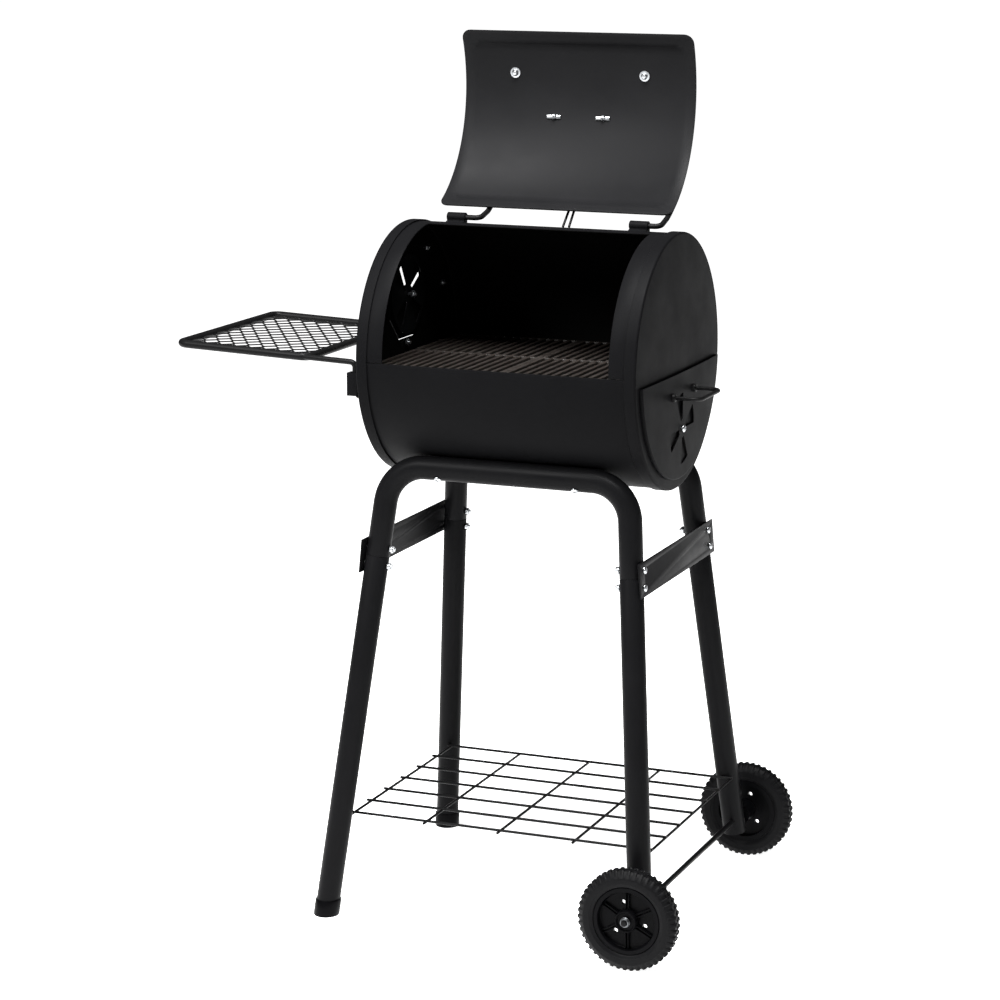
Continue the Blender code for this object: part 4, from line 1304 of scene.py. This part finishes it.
    def build_hinges(self) -> None:
        """Makes the cranked hinge rods, their sleeves and the wire that stops the lid."""
        hinge = self.hinge
        stands = ("left", -0.142, -0.105), ("right", 0.144, 0.176)
        for side, sleeve_x, arm_x in stands:
            on_field = abs(arm_x) < self.half - self.border
            over = self.inner + SHEET + (self.rise if on_field else 0) + self.rod + 2 * GAP
            start = Vector((BARREL.centre_x + sleeve_x - self.sleeve_length / 2, hinge.y, hinge.z))
            corner = Vector((BARREL.centre_x + arm_x, hinge.y, hinge.z))
            route = bent([start, corner, BARREL.at(arm_x, over, self.rear)], self.rod_bend, 8)
            route += [BARREL.at(arm_x, over, angle) for angle in (96, 101, 106, 111)]
            rod = rounded(tube(f"{side}_cranked_hinge_rod", route, self.rod, 20), SOFT)
            rod.data.transform(self.opened)
            present(rod, Body.LID, WIRE_COAT, [f"{side}_hinge_rod"])
            outer, bore, half = self.sleeve_radius, self.rod + 2 * GAP, self.sleeve_length / 2
            soft = 0.0007
            profile = [(bore, -half), (outer - soft, -half), (outer, -half + soft)]
            profile += [(outer, half - soft), (outer - soft, half), (bore, half)]
            place = aimed((BARREL.centre_x + sleeve_x, hinge.y, hinge.z), (1, 0, 0))
            sleeve = turned(f"{side}_rolled_hinge_sleeve", profile, 40, place, ring=True)
            sleeve = joined(f"{side}_rolled_hinge_sleeve", [sleeve, self.strap(sleeve_x)])
            present(sleeve, Body.STAND, STOVE_PAINT, [f"{side}_hinge_sleeve"])
        stop = refined("lid_stop_wire", "lid_stop_wire_bail", 0.0002)
        present(stop, Body.STAND, WIRE_COAT, ["lid_stop_wire"])


# ---- Stand ----
@dataclass(frozen=True)
class Stand:
    """Two bent leg frames, four lower legs, two braces and the wire shelf."""

    tube_radius: float = 0.0175
    wall: float = 0.0015
    floor_x: float = 0.2478
    floor_y: float = 0.2306
    top_inset: float = 0.0286
    bend: float = 0.060
    seam_z: float = 0.533
    saddle_angle: float = 51.5
    saddle_x: float = 0.1065
    left_end_z: float = 0.0055
    right_end_z: float = 0.0535
    bolt_rise: float = 0.0125
    wire: float = 0.002
    wire_z: float = 0.1455
    wire_shift: float = 0.010
    wire_clearance: float = 0.0015
    long_wires: int = 7
    cross_wires: int = 5
    foot_height: float = 0.024
    foot_wall: float = 0.0015
    foot_sole: float = 0.0045

    @property
    def bar_distance(self) -> float:
        """How far the top bars lie from the barrel's axis."""
        return BARREL.radius + GAP + self.tube_radius

    @property
    def top_y(self) -> float:
        """Half the distance between the top bars."""
        return self.bar_distance * math.cos(math.radians(self.saddle_angle))

    @property
    def top_z(self) -> float:
        """The height of the top bars."""
        return BARREL.centre_z - self.bar_distance * math.sin(math.radians(self.saddle_angle))

    @property
    def lean_x(self) -> float:
        """How far a leg leans along X for each metre of height."""
        return (self.floor_x - BARREL.cap_edge + self.top_inset) / self.top_z

    @property
    def lean_y(self) -> float:
        """How far a leg leans along Y for each metre of height."""
        return (self.floor_y - self.top_y) / self.top_z

    def leg(self, sign_x: int, sign_y: int, z: float) -> Vector:
        """The middle of a leg at a height."""
        x = BARREL.centre_x + sign_x * (self.floor_x - self.lean_x * z)
        return Vector((x, sign_y * (self.floor_y - self.lean_y * z), z))

    def pipe(self, name: str, route: Sequence[Vector]) -> bpy.types.Object:
        """A painted pipe, open at both ends, with its edges broken.

        Args:
            name: the piece's name.
            route: the places its middle goes through.

        Returns:
            The pipe.
        """
        pipe = tube(name, route, self.tube_radius, 40, filled=False)
        edit(pipe, lambda: bpy.ops.mesh.normals_make_consistent(inside=False))
        modify(pipe, "SOLIDIFY", thickness=self.wall, offset=-1, use_even_offset=True)
        return rounded(pipe, PLATE_SOFT, 2, 60)

    def build(self) -> None:
        """Makes the whole stand."""
        for side, sign in DEPTHS:
            self.build_frame(side, sign)
        for side, sign in SIDES:
            self.build_brace(side, sign)
        self.build_wire_shelf()

    def build_frame(self, side: str, sign: int) -> None:
        """Makes one bent upper tube, its two lower legs and the saddle screws.

        Args:
            side: front or rear.
            sign: which way it lies along Y.
        """
        route = [self.leg(-1, sign, self.seam_z + GAP), self.leg(-1, sign, self.top_z)]
        route += [self.leg(1, sign, self.top_z), self.leg(1, sign, self.seam_z + GAP)]
        bar = self.pipe(f"{side}_bent_leg_tube", bent(route, self.bend, 16))
        present(bar, Body.STAND, POWDER_COAT, [f"{side}_leg_frame"])
        outward = Vector((0, sign * self.top_y, self.top_z - BARREL.centre_z)).normalized()
        for end, sign_x in SIDES:
            x = BARREL.centre_x + sign_x * self.saddle_x
            seat = Vector((x, sign * self.top_y, self.top_z)) + outward * self.tube_radius
            name = f"{side}_{end}_saddle"
            grip = 2 * self.tube_radius + GAP + SHEET + SOFT
            screw = SCREW.build(f"{name}_screw", seat, outward, grip)
            present(screw, Body.STAND, ZINC_PLATE, [f"{name}_bolt"])
            low = self.left_end_z if sign_x < 0 else self.right_end_z
            name = f"{side}_{end}"
            leg = self.pipe(
                f"{name}_lower_leg_tube",
                [self.leg(sign_x, sign, self.seam_z), self.leg(sign_x, sign, low)],
            )
            present(leg, Body.STAND, POWDER_COAT, [f"{name}_leg"])
        self.build_foot(side, sign)

    def build_foot(self, side: str, sign: int) -> None:
        """Makes the plastic cap on a left leg: flat on the floor, with a plain rim above.

        Args:
            side: front or rear.
            sign: which way it lies along Y.
        """
        inner = self.tube_radius + GAP
        outer = inner + self.foot_wall
        top = self.foot_height
        profile = [(0, self.foot_sole), (inner, self.foot_sole)]
        profile += [(inner, top - 0.0008), (inner + SOFT, top)]
        profile += [(outer - 0.0004, top), (outer, top - 0.001), (outer, 0.0024)]
        profile += [(outer - 0.0007, 0.0007), (outer - 0.0022, 0), (0, 0)]
        cap = turned(f"{side}_foot_plug", profile, 64)
        shear = Matrix.Identity(4)
        shear[0][2] = self.lean_x
        shear[1][2] = -sign * self.lean_y
        cap.data.transform(Matrix.Translation(self.leg(-1, sign, 0)) @ shear)
        present(cap, Body.STAND, HUB_PLASTIC, [f"{side}_foot_cap"])

    def build_brace(self, side: str, sign_x: int) -> None:
        """Makes one flat brace and the four screws through it.

        Args:
            side: left or right.
            sign_x: which way it lies along X.
        """
        brace = refined(f"{side}_leg_brace", f"{side}_flat_brace", PLATE_SOFT)
        present(brace, Body.STAND, POWDER_COAT, [f"{side}_leg_brace"])
        lean = math.atan(self.lean_x)
        outward = Vector((sign_x * math.cos(lean), 0, math.sin(lean)))
        for depth, sign_y in DEPTHS:
            for level, rise in (("upper", self.bolt_rise), ("lower", -self.bolt_rise)):
                middle = self.leg(sign_x, sign_y, self.seam_z + rise)
                seat = middle + outward * (self.tube_radius + GAP + SHEET)
                name = f"{depth}_{side}_{level}"
                grip = 2 * self.tube_radius + GAP + SHEET
                screw = SCREW.build(f"{name}_screw", seat, outward, grip)
                present(screw, Body.STAND, ZINC_PLATE, [f"{name}_bolt"])

    def build_wire_shelf(self) -> None:
        """Makes the welded wire shelf: seven long wires laid on five cross wires."""
        half_x = self.floor_x - self.lean_x * self.wire_z
        leg_y = self.floor_y - self.lean_y * self.wire_z
        half_y = leg_y - self.tube_radius - self.wire - self.wire_clearance
        over = 2 * self.wire
        middle = BARREL.centre_x + self.wire_shift
        wires = []
        for k in range(self.long_wires):
            y = half_y * (2 * k / (self.long_wires - 1) - 1)
            z = self.wire_z + 0.8 * over
            ends = [(middle - half_x - over, y, z), (middle + half_x + over, y, z)]
            wires.append(rounded(tube("long_wire", ends, self.wire, 14), SOFT))
        for k in range(self.cross_wires):
            x = middle + half_x * (2 * k / (self.cross_wires - 1) - 1)
            reach = leg_y if k in (0, self.cross_wires - 1) else half_y + over
            ends = [(x, -reach, self.wire_z), (x, reach, self.wire_z)]
            wires.append(rounded(tube("cross_wire", ends, self.wire, 14), SOFT))
        shelf = joined("welded_wire_shelf", wires)
        present(shelf, Body.STAND, WIRE_COAT, ["bottom_wire_shelf"])


STAND = Stand()


# ---- Wheels ----
@dataclass(frozen=True)
class Wheel:
    """A hard plastic wheel: a tyre with two rows of lugs on a spoked hub."""

    side: str
    sign: int
    body: Body
    radius: float = 0.074
    width: float = 0.031
    tyre_inner: float = 0.050
    rim_inner: float = 0.042
    boss: float = 0.0158
    axle: float = 0.004
    axle_offset: float = 0.0035
    hub_clearance: float = 0.003
    standoff: float = 0.0368
    lugs: int = 46
    lug_height: float = 0.0017
    lug_depth: float = 0.0108
    lug_share: float = 0.60
    lug_inset: float = 0.00008
    lug_taper: float = 0.80
    lug_crown: float = 0.56
    lug_start: float = 0.0016
    spokes: int = 6
    rib_gap: float = 0.0042
    rib_wall: float = 0.0014
    rib_height: float = 0.0054
    rib_rise: float = 0.0016
    web: float = 0.003
    lip: float = 0.0030
    soft: float = 0.0012
    holes: int = 3
    hole_radius: float = 0.0034
    hole_distance: float = 0.026
    hole_turn: float = 105.0

    @property
    def inner_y(self) -> float:
        """Where the hub's inner end lies, as a distance from the middle."""
        leg_y = STAND.floor_y - STAND.lean_y * self.radius
        return leg_y + STAND.tube_radius + self.hub_clearance

    @property
    def centre(self) -> Vector:
        """The wheel's middle."""
        x = STAND.floor_x - STAND.lean_x * self.radius + self.axle_offset
        y = self.inner_y + self.standoff
        return Vector((BARREL.centre_x + x, self.sign * y, self.radius))

    def build(self) -> None:
        """Makes the tyre, the hub and the cap on the axle's end."""
        self.build_tyre()
        self.build_hub()
        self.build_cap()

    def build_tyre(self) -> None:
        """Makes the carcass and its lugs."""
        half = self.width / 2
        ground = self.radius - self.lug_height
        top = [(self.tyre_inner, half * 0.78), (self.tyre_inner + 0.0012, half * 0.86)]
        top += [(self.tyre_inner + 0.0040, half * 0.90), (self.tyre_inner + 0.0052, half * 0.96)]
        top += [(self.radius - 0.0125, half * 0.97), (self.radius - 0.0095, half * 0.93)]
        top += [(ground - 0.0022, half * 0.62), (ground, half * 0.48)]
        top += [(ground, 0.0014), (ground - 0.0016, 0.0006)]
        profile = [*top, *((r, -h) for r, h in reversed(top))]
        tyre = turned(f"{self.side}_lugged_tyre", profile, 92, None, ring=True)
        pieces = [tyre]
        long = TAU * self.radius / self.lugs * self.lug_share
        first = block((self.lug_depth, long, half))
        for vertex in first.data.vertices:
            crown = vertex.co.x > 0
            end = half * self.lug_crown if crown else half - 0.0002
            vertex.co.z = end if vertex.co.z > 0 else self.lug_start
            vertex.co.y *= self.lug_taper if crown else 1
            vertex.co.x += self.radius - self.lug_depth / 2 - self.lug_inset
        rounded(first, PLATE_SOFT, 1)
        for k in range(self.lugs):
            for row in (-1, 1):
                turn = TAU * (k + (0.25 if row > 0 else -0.25)) / self.lugs
                flip = Matrix.Diagonal((1, 1, row, 1))
                place = Matrix.Rotation(turn, 4, "Z")
                lug = duplicate(first, "lug", place @ flip)
                if row < 0:
                    edit(lug, bpy.ops.mesh.flip_normals)
                pieces.append(lug)
        bpy.data.objects.remove(first)
        tyre = joined(f"{self.side}_lugged_tyre", pieces)
        tyre.data.transform(aimed(self.centre, (0, self.sign, 0)))
        present(tyre, self.body, TYRE_PLASTIC, [f"{self.side}_tyre"])

    def build_hub(self) -> None:
        """Makes the dished hub: a closed web with three small holes, double ribs and a boss."""
        half = self.width / 2
        rim, web, lip, soft = half * 0.80, self.web, self.lip, self.soft
        bore = self.axle + 2 * GAP
        inner_end = -self.standoff
        profile = [(bore, half - lip), (self.boss - lip, half - lip)]
        profile += [(self.boss - lip, half - soft), (self.boss - 0.6 * lip, half)]
        profile += [(self.boss - 0.2 * lip, half)]
        profile += [(self.boss, half - soft)]
        profile += [(self.boss + 0.0008, web), (self.rim_inner - 0.001, web)]
        profile += [(self.rim_inner, web + 0.001), (self.rim_inner + 0.0006, rim - soft)]
        profile += [(self.rim_inner + soft, rim), (self.tyre_inner - GAP - soft, rim)]
        profile += [(self.tyre_inner - GAP, rim - soft), (self.tyre_inner - GAP, -rim)]
        profile += [(self.rim_inner, -rim), (self.rim_inner, -web), (self.boss, -web)]
        profile += [(self.boss, inner_end), (bore, inner_end)]
        hub = turned(f"{self.side}_spoked_hub", profile, 96, None, ring=True)
        cutters = []
        for k in range(self.holes):
            angle = math.radians(self.hole_turn + 360 * k / self.holes)
            middle = Vector((math.cos(angle), math.sin(angle), 0)) * self.hole_distance
            cutters.append(peg(24, self.hole_radius, CUT_REACH, middle))
        cut(hub, *cutters)
        pieces = [hub]
        length = self.rim_inner - self.boss + 0.001
        middle, level = (self.rim_inner + self.boss) / 2, web + self.rib_height / 3
        for k in range(self.spokes):
            turn = Matrix.Rotation(TAU * (k + 0.5) / self.spokes, 4, "Z")
            for side in (-1, 1):
                size = (length, self.rib_wall, self.rib_height)
                rib = block(size, (middle, side * self.rib_gap / 2, level))
                for vertex in rib.data.vertices:
                    if vertex.co.z > level and vertex.co.x < middle:
                        vertex.co.z += self.rib_rise
                rounded(rib, FINE_SOFT)
                rib.data.transform(turn)
                pieces.append(rib)
        hub = joined(f"{self.side}_spoked_hub", pieces)
        hub.data.transform(aimed(self.centre, (0, self.sign, 0)))
        present(hub, self.body, HUB_PLASTIC, [f"{self.side}_wheel_hub"])

    def build_cap(self) -> None:
        """Makes the domed push-on cap at the axle's end."""
        low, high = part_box(f"{self.side}_axle_nut")
        inner = min(abs(low.y), abs(high.y))
        profile = [(0.0042, 0.0034), (0.0050, 0.0040), (0.0062, 0.0034), (0.0068, 0.0022)]
        profile += [(0.0072, 0.0004), (0.0074, 0.0002), (0.0042, 0.0002)]
        seat = (self.centre.x, self.sign * inner, self.radius)
        place = aimed(seat, (0, self.sign, 0))
        cap = turned(f"{self.side}_axle_push_cap", profile, 40, place, ring=True)
        present(cap, Body.STAND, DULL_ZINC, [f"{self.side}_axle_nut"])


def build_axle(wheel: Wheel) -> None:
    """Makes the round axle that both wheels turn on.

    Args:
        wheel: either wheel, for the axle's line and size.
    """
    low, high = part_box("wheel_axle")
    ends = [(wheel.centre.x, low.y, wheel.radius), (wheel.centre.x, high.y, wheel.radius)]
    axle = rounded(tube("round_wheel_axle", ends, wheel.axle, 32), 0.0008)
    present(axle, Body.STAND, WIRE_COAT, ["wheel_axle"])


# ---- Side shelf ----
@dataclass(frozen=True)
class SideShelf:
    """The lift-off side shelf: a tube frame with two hooked rods and expanded metal in it."""

    inner_x: float = 0.302
    outer_x: float = 0.513
    half: float = 0.160
    inner_z: float = 0.8235
    outer_z: float = 0.8315
    tube_radius: float = 0.006
    corner: float = 0.014
    rod: float = 0.00425
    rod_x: float = 0.226
    rod_foot_x: float = 0.2195
    rod_foot_z: float = 0.769
    rod_bend: float = 0.008
    rod_overlap: float = 0.03
    hook_shoulder: float = 0.022
    hook_lip: float = 0.012
    strand: float = 0.0011
    diamond_across: float = 0.0240
    diamond_along: float = 0.0375
    knuckle: float = 0.22

    @property
    def slope(self) -> float:
        """How steeply the shelf rises outwards."""
        return (self.outer_z - self.inner_z) / (self.outer_x - self.inner_x)

    def at(self, x: float, y: float) -> Vector:
        """A place in the shelf's plane, x counted outwards from the barrel's middle."""
        return Vector((BARREL.centre_x - x, y, self.inner_z + (x - self.inner_x) * self.slope))

    def build(self) -> None:
        """Makes the frame with its hooks, the expanded metal and the two brackets."""
        middle = (self.outer_x + self.inner_x) / 2
        corners = [(middle, -self.half), (self.outer_x, -self.half), (self.outer_x, self.half)]
        corners += [(self.inner_x, self.half), (self.inner_x, -self.half), (middle, -self.half)]
        route = bent([self.at(*corner) for corner in corners], self.corner, 10)
        pieces = [tube("shelf_loop", route[:-1], self.tube_radius, 24, closed=True)]
        for sign in (-1, 1):
            y = sign * self.half
            hook = [self.at(self.inner_x + self.rod_overlap, y), self.at(self.rod_x, y)]
            shoulder = self.rod_foot_z + self.hook_shoulder
            hook.append(Vector((BARREL.centre_x - self.rod_x, y, shoulder)))
            foot = BARREL.centre_x - self.rod_foot_x
            hook.append(Vector((foot, y, self.rod_foot_z + self.hook_lip)))
            hook.append(Vector((foot, y, self.rod_foot_z)))
            rod = tube("shelf_hook", bent(hook, self.rod_bend, 8), self.rod, 20)
            pieces.append(rounded(rod, SOFT))
        shelf = joined("bent_shelf_frame", pieces)
        present(shelf, Body.SHELF, WIRE_COAT, ["side_shelf_frame"])
        self.build_expanded_metal()
        for side, _ in DEPTHS:
            node = f"{side}_shelf_bracket"
            bracket = refined(node, f"{side}_folded_shelf_bracket", FINE_SOFT)
            present(bracket, Body.STAND, STOVE_PAINT, [node])

    def build_expanded_metal(self) -> None:
        """Makes the slit and stretched sheet: zigzag strands that touch at each knuckle."""
        inset = self.tube_radius * 0.4
        low, high = self.inner_x + inset, self.outer_x - inset
        reach = self.half - inset
        columns = round((high - low) / (self.diamond_across / 2))
        spacing = (high - low) / columns
        periods = round(2 * reach / self.diamond_along)
        period = 2 * reach / periods
        strands = []
        for k in range(columns + 1):
            lean = -1 if k % 2 else 1
            route = []
            for j in range(2 * periods + 1):
                swing = lean * (1 if j % 2 else -1)
                for part in (-self.knuckle, self.knuckle):
                    y = -reach + (j + part) * period / 2
                    if -reach - 1e-9 <= y <= reach + 1e-9:
                        x = low + k * spacing + swing * (spacing / 2 - self.strand * 0.45)
                        route.append(self.at(min(max(x, low), high), y))
            strands.append(tube(f"strand_{k}", route, self.strand, 6))
        mesh = joined("expanded_metal_shelf", strands)
        present(mesh, Body.SHELF, WIRE_COAT, ["side_shelf_mesh"])


# ---- Floor, light and camera ----
@dataclass(frozen=True)
class Softbox:
    """A square soft light: its place, what it faces, its side in metres and its watts."""

    name: str
    place: tuple[float, float, float]
    target: tuple[float, float, float]
    size: float
    watts: float

    def hang(self) -> None:
        """Puts the light in the scene."""
        data = bpy.data.lights.new(self.name, "AREA")
        data.energy, data.size = self.watts, self.size
        lamp = bpy.data.objects.new(self.name, data)
        bpy.context.scene.collection.objects.link(lamp)
        lamp.matrix_world = aimed(self.place, Vector(self.place) - Vector(self.target))


@dataclass(frozen=True)
class Studio:
    """A pale floor, soft lights and the camera."""

    floor_half: float = 60.0
    camera_place: tuple[float, float, float] = (1.6828, -4.0876, 1.5208)
    camera_yaw: float = 21.935
    camera_pitch: float = -11.818
    camera_roll: float = 0.119
    lens: float = 108.54
    sensor: float = 36.0
    floor_glow: float = 0.95
    air_glow: float = 0.10
    lights: tuple[Softbox, ...] = (
        Softbox("key_softbox", (-1.6, -2.6, 3.2), (0.1, 0, 0.8), 1.3, 150),
        Softbox("top_softbox", (0.2, -0.9, 3.3), (0.1, 0, 0.9), 1.4, 290),
        Softbox("side_softbox", (3.4, -0.9, 2.2), (0.2, 0, 0.7), 1.6, 3),
    )

    def build(self) -> None:
        """Sets the whole studio."""
        deselect()
        bpy.ops.mesh.primitive_plane_add(size=2 * self.floor_half, location=(0, 0, 0))
        floor = settle(bpy.context.object)
        floor.name = floor.data.name = "studio_floor"
        material = bpy.data.materials.new("studio_paper")
        material.use_nodes = True
        shader = material.node_tree.nodes["Principled BSDF"]
        shader.inputs["Base Color"].default_value = linear("#f4f4f4")
        shader.inputs["Roughness"].default_value = 0.9
        shader.inputs["Specular IOR Level"].default_value = 0.0
        shader.inputs["Emission Color"].default_value = linear("#ffffff")
        shader.inputs["Emission Strength"].default_value = self.floor_glow
        floor.data.materials.append(material)
        world = bpy.context.scene.world or bpy.data.worlds.new("studio_air")
        bpy.context.scene.world = world
        world.use_nodes = True
        backdrop = world.node_tree.nodes["Background"]
        backdrop.inputs["Color"].default_value = linear("#ffffff")
        backdrop.inputs["Strength"].default_value = self.air_glow
        for softbox in self.lights:
            softbox.hang()
        bpy.context.scene.view_settings.view_transform = "Standard"
        camera = bpy.data.objects.new("studio_camera", bpy.data.cameras.new("studio_camera"))
        bpy.context.scene.collection.objects.link(camera)
        camera.data.lens = self.lens
        camera.data.sensor_width = self.sensor
        turn = Matrix.Rotation(math.radians(self.camera_yaw), 4, "Z")
        turn @= Matrix.Rotation(math.radians(90 + self.camera_pitch), 4, "X")
        turn @= Matrix.Rotation(math.radians(self.camera_roll), 4, "Z")
        camera.matrix_world = Matrix.Translation(self.camera_place) @ turn
        bpy.context.scene.camera = camera


def main() -> None:
    """Builds every sub-assembly in order, then the studio."""
    logging.basicConfig(level=logging.INFO, format="%(name)s: %(message)s")
    BARREL.build()
    high = BARREL.centre_z + BARREL.damper_rise
    low = BARREL.centre_z - BARREL.damper_drop
    left_x = -(BARREL.cap_edge - BARREL.damper_depth)
    right_x = BARREL.cap_edge + BARREL.drawer_proud - BARREL.damper_depth
    dampers = (
        Damper("left_damper", Body.LEFT_DAMPER, Body.STAND, left_x, high, -1),
        Damper("drawer_damper", Body.DRAWER_DAMPER, Body.DRAWER, right_x, low, 1),
    )
    for damper in dampers:
        damper.build_disc()
    for damper in dampers:
        damper.build_screw()
    BARREL.build_end_screws()
    AshDrawer().build()
    build_cooking_grates()
    Lid().build()
    STAND.build()
    wheels = (Wheel("front", -1, Body.FRONT_WHEEL), Wheel("rear", 1, Body.REAR_WHEEL))
    for wheel in wheels:
        wheel.build()
    build_axle(wheels[0])
    SideShelf().build()
    Studio().build()
    deselect()


if __name__ == "__main__":
    main()
